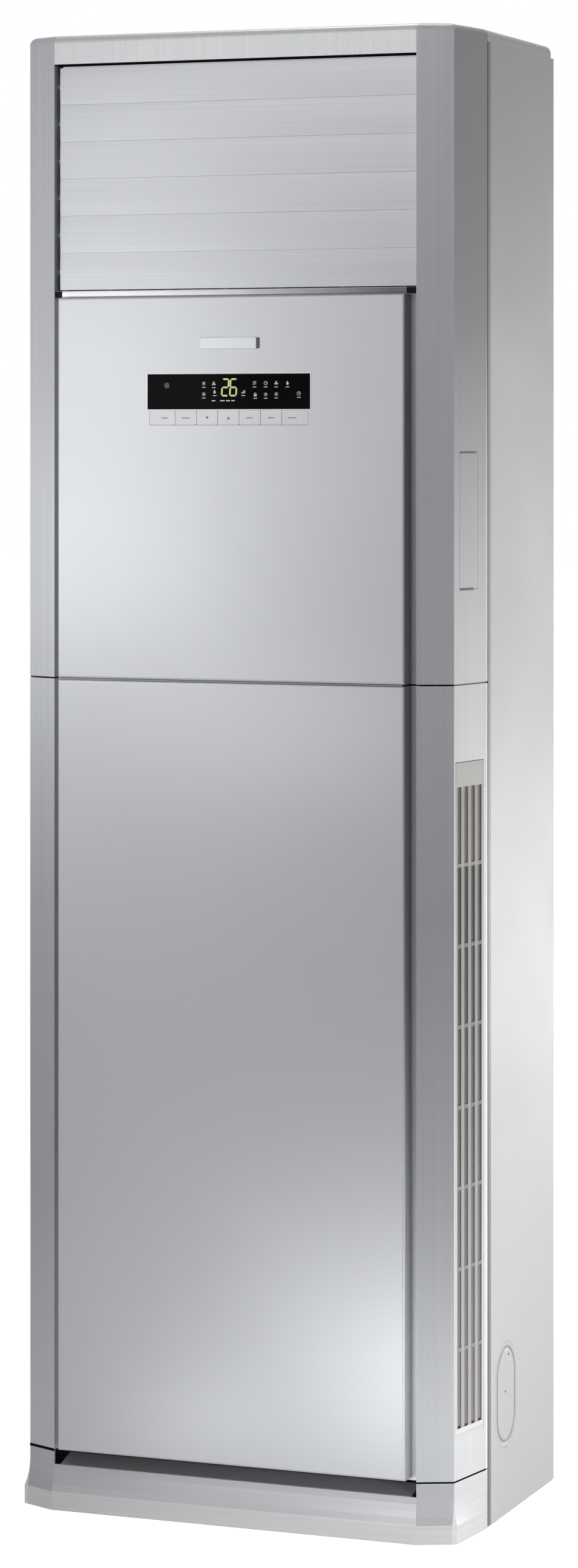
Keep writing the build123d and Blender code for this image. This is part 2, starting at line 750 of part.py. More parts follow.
def louvre_face():
    """Section of a slat about its axis, as (Y, Z): crowned face, rear lip and stiffening rib."""
    half = (LOUVRE_PITCH - LOUVRE_SEAM) / 2
    front = -LOUVRE_AXIS_BACK
    crown = 0.6
    step = front + LOUVRE_SKIN
    lip = step + 0.4
    back = lip + 1.2
    face = ThreePointArc((front, -half), (front - crown, 0), (front, half))
    rest = Polyline(
        (front, half),
        (step, half),
        (step, half - 2),
        (lip, half - 2),
        (lip, half + LOUVRE_LIP),
        (back, half + LOUVRE_LIP),
        (back, half - 3),
        (step + 1.4, half - 5),
        (step + 1.4, 1),
        (step + 3.4, 0.8),
        (step + 3.4, -0.8),
        (step + 1.4, -1),
        (step + 1.4, -half + 6),
        (step, -half + 4),
        (step, -half),
        (front, -half),
    )
    return make_face([*face.edges(), *rest.edges()])


def louvre(index):
    """One slat with its end plates and pivots, and the crank at its left end."""
    height = louvre_height(index)
    place = Pos(LOUVRE_Y, height)
    slat = across(place * louvre_face(), LOUVRE_LEFT, LOUVRE_RIGHT)
    root = -LOUVRE_AXIS_BACK + LOUVRE_SKIN
    half = ((root, -14), (1, -5), (4.5, -2.5))
    gusset = make_face(Polyline(*half, *[(y, -z) for y, z in reversed(half)], close=True))
    slat += across(place * gusset, LOUVRE_RIGHT - LOUVRE_PLATE, LOUVRE_RIGHT)
    side = ((-2, -4), (CRANK_RADIUS, -3.5), (CRANK_RADIUS + 3.5, -1.5))
    arm = make_face(Polyline(*side, *[(y, -z) for y, z in reversed(side)], close=True))
    left_plate = gusset + Rot(0, 0, CRANK_ANGLE) * arm
    slat += across(place * left_plate, LOUVRE_LEFT - LOUVRE_PLATE, LOUVRE_LEFT)
    pivot_end = X_BEVEL_IN + MOULDED - 0.3
    slat += across(place * Circle(PIVOT_RADIUS), LOUVRE_RIGHT, pivot_end)
    slat += across(place * repeated_pin(PIVOT_RADIUS), -pivot_end, LOUVRE_LEFT - LOUVRE_PLATE)
    crank = place * Rot(0, 0, CRANK_ANGLE) * Pos(CRANK_RADIUS, 0)
    pin = Circle(CRANK_PIN_RADIUS) if index == 0 else repeated_pin(CRANK_PIN_RADIUS)
    slat += across(crank * pin, LOUVRE_LINK_LEFT - 0.8, LOUVRE_LEFT - LOUVRE_PLATE)
    if index == DRIVEN_LOUVRE:
        bore = Circle(STEPPER_SHAFT + RUNNING)
        slat -= across(place * bore, pivot_end - STEPPER_BORE_DEPTH, pivot_end)
    return slat


def louvre_link():
    """Bar that joins the louvres' cranks, with an eye for each crank pin."""
    reach = math.radians(CRANK_ANGLE)
    y = LOUVRE_Y + CRANK_RADIUS * math.cos(reach)
    rise = CRANK_RADIUS * math.sin(reach)
    low = louvre_height(LOUVRES - 1) + rise
    high = louvre_height(0) + rise
    bar = Pos(y, (low + high) / 2) * Rectangle(LINK_WIDTH, high - low + LINK_WIDTH)
    for index in range(LOUVRES):
        bar -= Pos(y, louvre_height(index) + rise) * eye(CRANK_PIN_RADIUS)
    return across(bar, LOUVRE_LINK_LEFT, LOUVRE_LINK_LEFT + LINK_THICKNESS)


def vane_x(index):
    """Where a vane's axis stands across the outlet."""
    return (index - (VANES - 1) / 2) * VANE_PITCH


def vane(index):
    """One upright vane: blade thickest at its axis, with pivots and a crank pin below."""
    half = VANE_CHORD / 2
    blade = make_face(
        Polyline(
            (0, -half),
            (1.0, -half + 6),
            (VANE_SPINE, -2),
            (VANE_SPINE, 2),
            (0.5, half),
            (-0.5, half),
            (-VANE_SPINE, 2),
            (-VANE_SPINE, -2),
            (-1.0, -half + 6),
            close=True,
        )
    )
    place = Pos(vane_x(index), VANE_Y)
    body = upright(place * blade, VANE_LOW, VANE_HIGH)
    low = OUTLET_LOW - DUCT_WALL + 0.5
    high = OUTLET_HIGH + DUCT_WALL - 0.5
    body += upright(place * Circle(PIVOT_RADIUS), low, VANE_LOW + 6)
    body += upright(place * repeated_pin(PIVOT_RADIUS), VANE_HIGH - 6, high)
    crank = place * Pos(0, VANE_CRANK)
    pin = Circle(CRANK_PIN_RADIUS) if index == 0 else repeated_pin(CRANK_PIN_RADIUS)
    body += upright(crank * pin, VANE_LINK_LOW - 0.8, VANE_LOW + 3)
    if index == DRIVEN_VANE:
        body -= upright(place * Circle(STEPPER_SHAFT + RUNNING), low, low + STEPPER_BORE_DEPTH)
    return body


def vane_link():
    """Bar that joins the vanes' crank pins."""
    y = VANE_Y + VANE_CRANK
    bar = Pos(0, y) * Rectangle((VANES - 1) * VANE_PITCH + LINK_WIDTH, LINK_WIDTH)
    for index in range(VANES):
        bar -= Pos(vane_x(index), y) * eye(CRANK_PIN_RADIUS)
    return upright(bar, VANE_LINK_LOW, VANE_LINK_LOW + VANE_LINK_THICKNESS)


def duct_line(corner, wall, radius, sign):
    """One wall of the duct as a face between its air side and its outside."""
    y, z = corner
    air = FilletPolyline((Y_REVEAL, z), (y, z), (y, DUCT_BOTTOM), radius=radius)
    grown = radius + sign * wall
    out_y = y + sign * wall
    out_z = z + sign * wall
    out = FilletPolyline((Y_REVEAL, out_z), (out_y, out_z), (out_y, DUCT_BOTTOM), radius=grown)
    ends = [
        Line((Y_REVEAL, z), (Y_REVEAL, out_z)),
        Line((y, DUCT_BOTTOM), (out_y, DUCT_BOTTOM)),
    ]
    return air, out, ends


def outlet_duct():
    """Duct that turns the air from the coil forward to the outlet, with the vanes' bearings."""
    roof = duct_line((DUCT_REAR, OUTLET_HIGH), DUCT_WALL, DUCT_REAR_RADIUS, 1)
    throat = Y_FACE + DUCT_THROAT
    floor = duct_line((throat, OUTLET_LOW), DUCT_WALL, DUCT_LIP_RADIUS, -1)
    duct = None
    for air, out, ends in (roof, floor):
        wall = make_face([*air.edges(), *out.edges(), *ends])
        solid = across(wall, -X_BEVEL_IN, X_BEVEL_IN)
        duct = solid if duct is None else duct + solid
    front = Line((Y_REVEAL, OUTLET_HIGH + DUCT_WALL), (Y_REVEAL, OUTLET_LOW - DUCT_WALL))
    foot = Line((DUCT_REAR + DUCT_WALL, DUCT_BOTTOM), (throat - DUCT_WALL, DUCT_BOTTOM))
    cheek = make_face([*roof[1].edges(), *floor[1].edges(), front, foot])
    duct += across(cheek, X_BEVEL_IN, X_BEVEL_IN + DUCT_WALL)
    duct += across(cheek, -X_BEVEL_IN - DUCT_WALL, -X_BEVEL_IN)
    for index in range(VANES):
        hole = Pos(vane_x(index), VANE_Y) * eye(PIVOT_RADIUS)
        duct -= upright(hole, OUTLET_LOW - 9, OUTLET_LOW + 9)
        duct -= upright(hole, OUTLET_HIGH - 9, OUTLET_HIGH + 9)
    return duct


def stepper_motor():
    """Small geared motor; its shaft points along local +Z from the origin, the body lies below."""
    body = Pos(STEPPER_OFFSET, 0, -STEPPER_LENGTH / 2) * Cylinder(STEPPER_RADIUS, STEPPER_LENGTH)
    ear = Pos(STEPPER_OFFSET, 0, -1) * Box(7, 42, 2)
    shaft = Pos(0, 0, STEPPER_SHAFT_REACH / 2) * Cylinder(STEPPER_SHAFT, STEPPER_SHAFT_REACH)
    return body + ear + shaft


def stepper_motors():
    """The louvre motor outside the right reveal, and the vane motor under the duct."""
    louvre_place = Plane(
        origin=(X_BEVEL_IN + MOULDED, LOUVRE_Y, louvre_height(DRIVEN_LOUVRE)),
        x_dir=(0, 1, 0),
        z_dir=(-1, 0, 0),
    )
    vane_place = Plane(
        origin=(vane_x(DRIVEN_VANE), VANE_Y, OUTLET_LOW - DUCT_WALL),
        x_dir=(0, 1, 0),
        z_dir=(0, 0, 1),
    )
    return Compound(children=[louvre_place * stepper_motor(), vane_place * stepper_motor()])


# Fan ----------------------------------------------------------------------------------


def scroll_face(grow, head):
    """The scroll's outline in front view about the fan's axis, up to a head height."""
    start = math.radians(TONGUE_ANGLE)
    span = 2 * math.pi - start
    rate = math.log(SCROLL_END_RADIUS / SCROLL_START_RADIUS) / span
    points = []
    steps = 15
    for step in range(steps + 1):
        angle = start + span * step / steps
        radius = SCROLL_START_RADIUS * math.exp(rate * span * step / steps) + grow
        points.append((radius * math.cos(angle), radius * math.sin(angle)))
    tongue = points[0]
    last = points[-1]
    return make_face(Polyline(*points, (last[0], head), (tongue[0] - grow, head), close=True))


def fan_scroll():
    """Spiral sheet housing, open at the top, with a drawn inlet mouth and a motor hole."""
    head = DECK - FAN_Z
    housing = backward(scroll_face(SHEET, head), SCROLL_FRONT, SCROLL_REAR)
    housing -= backward(scroll_face(0, head + 5), SCROLL_FRONT + SHEET, SCROLL_REAR - SHEET)
    mouth = RegularPolygon(INLET_THROAT, 28)
    housing += backward(offset(mouth, SHEET, kind=Kind.INTERSECTION), SCROLL_FRONT, WHEEL_FRONT - 3)
    housing -= backward(mouth, SCROLL_FRONT - 1, WHEEL_FRONT)
    housing -= backward(RegularPolygon(30, 12), SCROLL_REAR - 2, SCROLL_REAR + 1)
    return housing


def spun(points):
    """Revolves a closed line of (radius, Y) points round the fan's axis."""
    face = make_face(Polyline(*points, close=True))
    turned = revolve(face, Axis.Y)
    return Pos(FAN_X, 0, FAN_Z) * turned


def wheel_blade():
    """Section of one forward curved blade about the fan's axis."""
    middle = (WHEEL_EYE + WHEEL_RADIUS) / 2
    shape = ((WHEEL_EYE, 0), (middle, 0.24), (WHEEL_RADIUS - 0.5, 1))
    sides = []
    for turn in (0, BLADE_TURN):
        side = []
        for radius, share in shape:
            angle = math.radians(share * BLADE_SWEEP + turn)
            side.append((radius * math.cos(angle), radius * math.sin(angle)))
        sides.append(side)
    return make_face(Polyline(*sides[0], *reversed(sides[1]), close=True))


def fan_wheel():
    """Centrifugal wheel: back plate and hub in one, front ring and forward curved blades."""
    bore = SHAFT_RADIUS + 0.02
    plate = WHEEL_REAR - PLATE
    front = WHEEL_FRONT
    line = [
        (bore, HUB_FRONT),
        (HUB_RADIUS, HUB_FRONT),
        (HUB_RADIUS + 14, plate),
        (WHEEL_RADIUS, plate),
        (WHEEL_RADIUS, WHEEL_REAR),
        (bore, WHEEL_REAR),
    ]
    wheel = spun(line)
    back = front + RING_THICKNESS
    eye_edge = WHEEL_EYE - 0.5
    wheel += spun([(eye_edge, front), (WHEEL_RADIUS, front), (WHEEL_RADIUS, back), (eye_edge, back)])
    blade = backward(wheel_blade(), back, plate)
    blades = []
    for index in range(BLADES):
        turn = Pos(FAN_X, 0, FAN_Z) * Rot(0, 360 * index / BLADES, 0) * Pos(-FAN_X, 0, -FAN_Z)
        blades.append(turn * blade)
    return wheel + blades


def fan_shaft():
    """Motor shaft that carries the wheel."""
    front = HUB_FRONT - 2
    rear = MOTOR_REAR - 8
    return spun([(0, front), (SHAFT_RADIUS, front), (SHAFT_RADIUS, rear), (0, rear)])


def fan_motor():
    """Closed motor with a bearing bore."""
    bore = SHAFT_RADIUS + RUNNING
    line = [
        (bore, MOTOR_FRONT),
        (MOTOR_RADIUS, MOTOR_FRONT),
        (MOTOR_RADIUS, MOTOR_REAR),
        (0, MOTOR_REAR),
        (0, MOTOR_REAR - 7),
        (bore, MOTOR_REAR - 7),
    ]
    return spun(line)


def motor_bracket():
    """Plate that grips the motor, on four legs that stand on the scroll's rear plate."""
    half = 86.0
    seat = MOTOR_FRONT + 30
    ring = Rectangle(2 * half, 2 * half) - RegularPolygon(MOTOR_RADIUS, 8, major_radius=False)
    bracket = backward(ring, seat, seat + 2)
    for x in (-half + 12, half - 12):
        for z in (-half + 1, half - 1):
            bracket += backward(Pos(x, z) * Rectangle(24, 2), SCROLL_REAR, seat + 2)
            foot = Pos(x, z + math.copysign(8, z)) * Rectangle(24, 18)
            bracket += backward(foot, SCROLL_REAR, SCROLL_REAR + 2)
    return bracket


# Coil chamber -------------------------------------------------------------------------

COIL_PLACE = Pos(0, COIL_Y, COIL_Z) * Rot(-COIL_LEAN, 0, 0)


def partition_deck():
    """Deck over the fan chamber, with the fan's outlet and the pipe notches."""
    side = HALF_WIDTH - SHEET
    front = -160.0
    rear = Y_REAR - 2 * SHEET
    step = Y_STRIP_END + 4
    inner = HALF_WIDTH - 25
    line = [(-inner, step), (-inner, front), (inner, front), (inner, step), (side, step)]
    line = [(-side, step), *line, (side, rear), (-side, rear)]
    deck = upright(make_face(Polyline(*line, close=True)), DECK, DECK + SHEET)
    deck += block(-inner, inner, front, front + SHEET, DECK - DECK_FLANGE, DECK)
    tongue_x = SCROLL_START_RADIUS * math.cos(math.radians(TONGUE_ANGLE)) + FAN_X
    outlet_x = SCROLL_END_RADIUS + FAN_X
    deck -= block(tongue_x, outlet_x, SCROLL_FRONT + SHEET, SCROLL_REAR - SHEET, 980, 990)
    deck -= block(-288, -248, 118, 178, 980, 990)
    deck -= upright(Pos(-222, -100) * RegularPolygon(9, 8), DECK - 1, DECK + 2)
    return deck


def drain_pan():
    """Tray under the coil's lower edge, with a spout through the deck."""
    low = DECK + SHEET
    pan = block(-238, 238, -150, -52, low, low + 26)
    pan -= block(-236, 236, -148, -54, low + 2, low + 30)
    spout = Pos(-222, -100) * RegularPolygon(8, 8)
    pan += upright(spout, low - 22, low + 2)
    return pan - upright(offset(spout, -1.5, kind=Kind.INTERSECTION), low - 23, low + 3)


def evaporator_fins():
    """Fin block between two end plates, with the brackets that hold it to the sides."""
    fins = Box(COIL_WIDTH, COIL_THICKNESS, COIL_LENGTH)
    plate = Box(PLATE, COIL_THICKNESS + 12, COIL_LENGTH + 12)
    for side in (-1, 1):
        fins += Pos(side * (COIL_WIDTH + PLATE) / 2, 0, 0) * plate
    coil = COIL_PLACE * fins
    outer = COIL_WIDTH / 2 + PLATE
    side = HALF_WIDTH - SHEET
    lean = math.tan(math.radians(COIL_LEAN))
    for height in (1105, 1380):
        y = COIL_Y + (height - COIL_Z) * lean + 16
        coil += block(outer - 1, side, y, y + 3, height - 12, height + 12)
        coil += block(-side, 1 - outer, y, y + 3, height - 12, height + 12)
    return coil


def tube_height(index):
    """Place of a tube along the coil."""
    return (index - (TUBES - 1) / 2) * TUBE_PITCH


def return_bend(index, side):
    """Hairpin bend that joins two tubes outside an end plate, with mitred corners."""
    middle = (tube_height(index) + tube_height(index + 1)) / 2
    start = side * (COIL_WIDTH / 2 + PLATE)
    half = TUBE_PITCH / 2
    out = side * half
    line = [(0, half), (0.55 * out, half), (out, 0.55 * half)]
    line += [(x, -z) for x, z in reversed(line)]
    path = Polyline(*[(x, 0, z) for x, z in line])
    section = Plane(origin=(0, 0, half), x_dir=(0, 1, 0), z_dir=(side, 0, 0))
    tube = section * RegularPolygon(TUBE_RADIUS, 8)
    bend = sweep(tube, path=path, transition=Transition.RIGHT)
    return COIL_PLACE * Pos(start, 0, middle) * bend


def evaporator_tubes():
    """Return bends on both end plates."""
    bends = [return_bend(index, 1) for index in range(0, TUBES - 1, 2)]
    bends += [return_bend(index, -1) for index in range(1, TUBES - 1, 2)]
    return Compound(children=bends)


def pipe(points, radius):
    """A copper pipe along straight runs with mitred corners."""
    way = Vector(*points[1]) - Vector(*points[0])
    start = Plane(origin=points[0], z_dir=way)
    section = start * RegularPolygon(radius, 8)
    return sweep(section, path=Polyline(*points), transition=Transition.RIGHT)


def refrigerant_pipes():
    """Liquid and gas pipes from the coil down the left side to their flare nuts."""
    plate = -(COIL_WIDTH / 2 + PLATE)
    lean = math.radians(COIL_LEAN)
    pieces = []
    for index, radius, drop_x, drop_y in ((0, 4.8, -262, 135), (TUBES - 1, 4.8, -272, 160)):
        along = tube_height(index)
        y = COIL_Y + along * math.sin(lean)
        z = COIL_Z + along * math.cos(lean)
        points = [(plate, y, z), (drop_x, y, z)]
        if index == 0:
            points.append((drop_x, drop_y, z))
        else:
            points.append((drop_x, drop_y, z - 60))
        points.append((drop_x, drop_y, 250))
        pieces.append(pipe(points, radius))
        nut = upright(Pos(drop_x, drop_y) * RegularPolygon(11, 6), 226, 250)
        pieces.append(nut)
    return Compound(children=pieces)


def control_box():
    """Sheet box for the electrics, open at the front."""
    front = Y_GROOVE + MOULDED + SHEET
    box = block(BOX_LEFT, BOX_RIGHT, front, BOX_REAR, BOX_LOW, BOX_HIGH)
    box -= block(
        BOX_LEFT + SHEET, BOX_RIGHT - SHEET, front, BOX_REAR - SHEET, BOX_LOW + SHEET, BOX_HIGH - SHEET
    )
    return box


def control_box_cover():
    """Cover of the control box, which bears on the frame's rail."""
    front = Y_GROOVE + MOULDED
    return block(BOX_LEFT, BOX_RIGHT, front, front + SHEET, BOX_LOW, BOX_HIGH)


def control_board():
    """Main board with its transformer, relays, capacitors and terminal block."""
    back = BOX_REAR - SHEET
    board = block(BOX_LEFT + 15, BOX_RIGHT - 15, back - 8, back - 6.4, BOX_LOW + 20, BOX_HIGH - 20)
    for x in (BOX_LEFT + 22, BOX_RIGHT - 22):
        for z in (BOX_LOW + 28, BOX_HIGH - 28):
            board += block(x - 3, x + 3, back - 6.4, back, z - 3, z + 3)
    face = back - 8
    board += block(-70, -30, face - 30, face, 1240, 1280)
    for x in (0, 24, 48):
        board += block(x, x + 18, face - 16, face, 1250, 1275)
    for x in (-58, -34):
        can = Plane(origin=(x, face, 1180), z_dir=(0, -1, 0)) * RegularPolygon(9, 8)
        board += extrude(can, 24)
    board += block(20, 110, face - 18, face, 1105, 1130)
    return board


# Hand each sub-part over --------------------------------------------------------------

save("base_pan", base_pan())
save("base_skirt", base_skirt())
save("back_panel", back_panel())
save("top_cover", top_cover())
save("case_screws", case_screws())
save("upper_front_frame", upper_front_frame())
save("lower_front_frame", lower_front_frame())
save("upper_centre_panel", upper_centre_panel())
save("lower_centre_panel", panel_tray(PANEL_LOW, SPLIT - SEAM / 2))
save("display_window", display_window())
save("display_board", display_board())
save("badge_plate", badge_plate())

for right_name, left_name, make in (
    ("side_panel_right", "side_panel_left", side_panel),
    ("pipe_cover_right", "pipe_cover_left", pipe_cover),
    ("side_cap_right", "side_cap_left", side_cap),
    ("intake_grille_right", "intake_grille_left", intake_grille),
    ("air_filter_right", "air_filter_left", air_filter),
):
    piece = make()
    save(right_name, piece)
    save(left_name, other_side(piece))

for number in range(KEYS):
    save("key_" + str(number + 1), key(number))

for number in range(LOUVRES):
    save("louvre_" + str(number + 1), louvre(number))
save("louvre_link", louvre_link())

for number in range(VANES):
    save("vane_" + str(number + 1), vane(number))
save("vane_link", vane_link())

save("outlet_duct", outlet_duct())
save("stepper_motors", stepper_motors())

save("fan_scroll", fan_scroll())
save("fan_wheel", fan_wheel())
save("fan_shaft", fan_shaft())
save("fan_motor", fan_motor())
save("motor_bracket", motor_bracket())

save("partition_deck", partition_deck())
save("drain_pan", drain_pan())
save("evaporator_fins", evaporator_fins())
save("evaporator_tubes", evaporator_tubes())
save("refrigerant_pipes", refrigerant_pipes())
save("control_box", control_box())
save("control_box_cover", control_box_cover())
save("control_board", control_board())
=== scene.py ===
import math

import bmesh
import bpy
from mathutils import Matrix, Vector


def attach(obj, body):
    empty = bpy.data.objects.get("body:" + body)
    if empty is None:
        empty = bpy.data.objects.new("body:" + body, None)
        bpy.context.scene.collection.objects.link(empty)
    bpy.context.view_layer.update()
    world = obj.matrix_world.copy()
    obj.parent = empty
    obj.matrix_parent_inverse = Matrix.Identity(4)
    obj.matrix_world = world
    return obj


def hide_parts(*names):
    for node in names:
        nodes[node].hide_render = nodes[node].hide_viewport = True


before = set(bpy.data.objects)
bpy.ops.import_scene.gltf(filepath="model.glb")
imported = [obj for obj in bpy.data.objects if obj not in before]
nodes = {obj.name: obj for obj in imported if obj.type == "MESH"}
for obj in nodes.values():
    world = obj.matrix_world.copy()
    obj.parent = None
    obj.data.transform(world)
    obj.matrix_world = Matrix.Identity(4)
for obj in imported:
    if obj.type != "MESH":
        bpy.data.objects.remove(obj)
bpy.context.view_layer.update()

MM = 0.001
SIDES = ((1, "right"), (-1, "left"))

# Places on the cabinet, in millimetres, as in the part's own source
HALF_WIDTH = 300.5
HEIGHT = 1870.0
Y_PANEL = -195.3
Y_FACE = -181.3
Y_BEVEL = -162.3
Y_REAR = 194.5
X_BEVEL_IN = 243.3
X_BEVEL_OUT = 285.7
KEY_PITCH = 28.6
KEY_MIDDLE = 1384.4
Y_SILL = Y_FACE + 3
X_PANEL_ROUND = 231.4
Y_STRIP_EDGE = -81.0
FLARE_LOW = 23.5
SEAM_LOW = 1054.15
SEAM_HIGH = 1055.85
HEAD_LOW = 1833.4

# A side strip runs back from its bevel and splays a little; it shows up to the side sheet
STRIP_SPLAY = 14.8
STRIP_DEPTH = 85.3
STRIP_LENGTH = math.hypot(STRIP_SPLAY, STRIP_DEPTH)
STRIP_SHOWN = 82.0

# The slots of an intake grille: heights, and places measured back along the side strip
SLOTS_LOW = 138.5
SLOTS_HIGH = 929.0
SLOT_ROWS = 8
ROW_GAP = 5.0
SLOT_COLUMNS = 4
SLOT_PITCH = 17.5
SLOTS_MIDDLE = 40.0
SLOTS_HALF_WIDTH = 32.5
TAB_LOW = 830.0

# A pipe cover is an obround about an upright middle line
COVER_MIDDLE_Y = -4.0
COVER_MIDDLE_Z = 152.0
COVER_HALF_STRAIGHT = 24.0
COVER_LINE_RADIUS = 35.0
COVER_EDGE_RADIUS = 47.2


# Shader work --------------------------------------------------------------------------


def tone(red, green, blue):
    """A colour given as it shows on a screen, from 0 to 255, as the linear numbers of a shader."""
    linear = []
    for level in (red, green, blue):
        share = level / 255
        linear.append(share / 12.92 if share <= 0.04045 else ((share + 0.055) / 1.055) ** 2.4)
    return (*linear, 1.0)


def darker(colour, share):
    return (colour[0] * share, colour[1] * share, colour[2] * share, 1.0)


WHITE = (1, 1, 1, 1)
BLACK = (0, 0, 0, 1)


class Amount:
    """A number or colour that varies over a surface; arithmetic on it adds Math nodes."""

    def __init__(self, finish, socket):
        self.finish = finish
        self.socket = socket

    def __add__(self, other):
        return self.finish.maths("ADD", self, other)

    def __sub__(self, other):
        return self.finish.maths("SUBTRACT", self, other)

    def __rsub__(self, other):
        return self.finish.maths("SUBTRACT", other, self)

    def __mul__(self, other):
        return self.finish.maths("MULTIPLY", self, other)

    def __gt__(self, other):
        return self.finish.maths("GREATER_THAN", self, other)

    def __lt__(self, other):
        return self.finish.maths("LESS_THAN", self, other)

    def __abs__(self):
        return self.finish.maths("ABSOLUTE", self)

    __radd__ = __add__
    __rmul__ = __mul__

    def wave(self):
        return self.finish.maths("SINE", self)

    def clipped(self):
        return self.finish.node("ShaderNodeClamp", {}, {"Value": self})

    def rise(self, start, slope):
        """0 up to start, and from there up to 1 at that slope."""
        return ((self - start) * slope).clipped()

    def fall(self, end, slope):
        """Down from 1 at that slope, to 0 at end and beyond it."""
        return ((end - self) * slope).clipped()


class Network:
    """The nodes of a material or of the world, each made by one method."""

    def __init__(self, owner):
        owner.use_nodes = True
        self.tree = owner.node_tree

    def node(self, kind, settings=None, inputs=None, output=0):
        made = self.tree.nodes.new(kind)
        for setting, value in (settings or {}).items():
            setattr(made, setting, value)
        for key, value in (inputs or {}).items():
            self.join(made.inputs[key], value)
        return Amount(self, made.outputs[output]) if len(made.outputs) else None

    def join(self, socket, value):
        if isinstance(value, Amount):
            self.tree.links.new(value.socket, socket)
        else:
            socket.default_value = value

    def maths(self, operation, *values):
        return self.node("ShaderNodeMath", {"operation": operation}, dict(enumerate(values)))

    def length(self, vector):
        settings = {"operation": "LENGTH"}
        return self.node("ShaderNodeVectorMath", settings, {0: vector}, output="Value")


class Finish(Network):
    """One material: a shader, and what varies over the surface."""

    def __init__(self, name, colour, roughness, metallic=0.0, **constants):
        self.material = bpy.data.materials.new(name)
        super().__init__(self.material)
        self.shader = self.tree.nodes["Principled BSDF"]
        self.colour = colour
        self.feed("Base Color", colour)
        self.feed("Roughness", roughness)
        self.feed("Metallic", metallic)
        for socket, value in constants.items():
            self.feed(socket.replace("_", " "), value)
        self.place = self.node("ShaderNodeTexCoord", output="Object")

    def feed(self, socket, value):
        self.join(self.shader.inputs[socket], value)

    def spots(self, size, detail=2.0, stretch=(1, 1, 1)):
        """Noise with spots of about that size in metres, lengthened along an axis by stretch."""
        scale = [1 / (size * long) for long in stretch]
        at = self.node("ShaderNodeMapping", {}, {"Vector": self.place, "Scale": scale})
        return self.node("ShaderNodeTexNoise", {}, {"Vector": at, "Scale": 1.0, "Detail": detail})

    def cells(self, per_metre, output):
        """Cells like crystals or beads, that many to a metre."""
        scale = (per_metre, per_metre, per_metre)
        at = self.node("ShaderNodeMapping", {}, {"Vector": self.place, "Scale": scale})
        inputs = {"Vector": at, "Scale": 1.0}
        return self.node("ShaderNodeTexVoronoi", {}, inputs, output=output)

    def axis(self, name):
        return self.node("ShaderNodeSeparateXYZ", {}, {"Vector": self.place}, output=name)

    def from_middle(self):
        """Distance from the plane that halves the cabinet."""
        return abs(self.axis("X"))

    def mix(self, share, first, second):
        inputs = {0: share, 6: first, 7: second}
        return self.node("ShaderNodeMix", {"data_type": "RGBA"}, inputs, output=2)

    def towards_black(self, share):
        """The finish's own colour, with that share of black."""
        return self.mix(share, self.colour, BLACK)

    def shade(self, share, other):
        """Base colour that goes towards another one where share is high."""
        self.feed("Base Color", self.mix(share, self.colour, other))

    def relief(self, height, depth):
        """Bumps of that depth in metres."""
        inputs = {"Height": height, "Distance": depth}
        self.feed("Normal", self.node("ShaderNodeBump", {}, inputs))


# Where a finish changes ---------------------------------------------------------------


def strip_share(finish):
    """1 on the side strips, behind the bevels; painted light makes the lacquer paler there."""
    return finish.from_middle() > (X_BEVEL_OUT + 0.1) * MM


def head_rise(finish):
    """Rises over the upper frame, from the seam to the head."""
    return finish.axis("Z").rise(1.12, 2.6)


def strip_head(finish):
    """Rises up the side strips of the upper frame; shade is painted towards the head."""
    return strip_share(finish) * head_rise(finish)


def strip_edge(finish):
    """Painted highlight on the strips' rear edge, along the side sheets; it fades towards the head.
    """
    return (finish.axis("Y") > Y_STRIP_EDGE * MM) * finish.axis("Z").fall(1.5, 4)


def bevel_shade(finish):
    """Painted shade that rises down the bevels of the lower frame, and falls again above the
    plinth.
    """
    outside = finish.from_middle() > X_BEVEL_IN * MM
    height = finish.axis("Z")
    return outside * (1 - strip_share(finish)) * height.fall(1.02, 4) * height.rise(0.15, 4)


def between_columns(finish):
    """1 between the bevels of the two columns, from the foot to the head."""
    return finish.from_middle() < X_BEVEL_IN * MM


def head_front(finish):
    """1 on the front of the head, above the outlet, where painted light makes the lacquer paler."""
    return between_columns(finish) * (finish.axis("Z") > HEAD_LOW * MM)


def groove_floor(finish):
    """1 in the grooves beside the centre panels, which are deeper than the sill; painted light
    makes them paler.
    """
    return between_columns(finish) * (finish.axis("Y") > Y_SILL * MM)


def panel_edge(finish):
    """Painted shade over the rounded side edges of the centre panels; it fades towards the foot."""
    over = finish.from_middle().rise(X_PANEL_ROUND * MM, 1500)
    return over * finish.axis("Z").rise(0.2, 2)


def plinth_flare(finish):
    """1 on the hollow upper part of the plinth, darkened by painted shade."""
    return finish.axis("Z") > FLARE_LOW * MM


def foot_light(finish):
    """Falls from 1 at the foot of the intake grilles, where more light reaches the slots."""
    return finish.axis("Z").fall(0.775, 1.6)


# Finishes -----------------------------------------------------------------------------


def silver_paint(name, colour, streak=None, areas=()):
    """Metallic lacquer on a moulding: fine flakes, and faint drawn streaks along one axis.

    Each area is a share over the surface, made from the finish, and the colour that paints light
    and shade there.
    """
    roughness = 0.36
    finish = Finish(name, colour, roughness, 0.25, Specular_IOR_Level=0.2)
    for share_of, own_colour in areas:
        finish.colour = finish.mix(share_of(finish), finish.colour, own_colour)
    flakes = finish.spots(0.0009, 1.0)
    clouds = finish.spots(0.16)
    share = flakes * 0.5 + clouds * 0.3
    finish.feed("Roughness", roughness - 0.05 + 0.1 * flakes)
    if streak:
        lines = finish.spots(0.0035, 2.0, streak)
        share = share + (lines - 0.35) * 1.1
        finish.relief(lines + 0.3 * flakes, 0.00003)
    else:
        finish.relief(flakes + 0.6 * clouds, 0.00002)
    finish.shade(share.clipped(), finish.towards_black(0.14))
    return finish.material


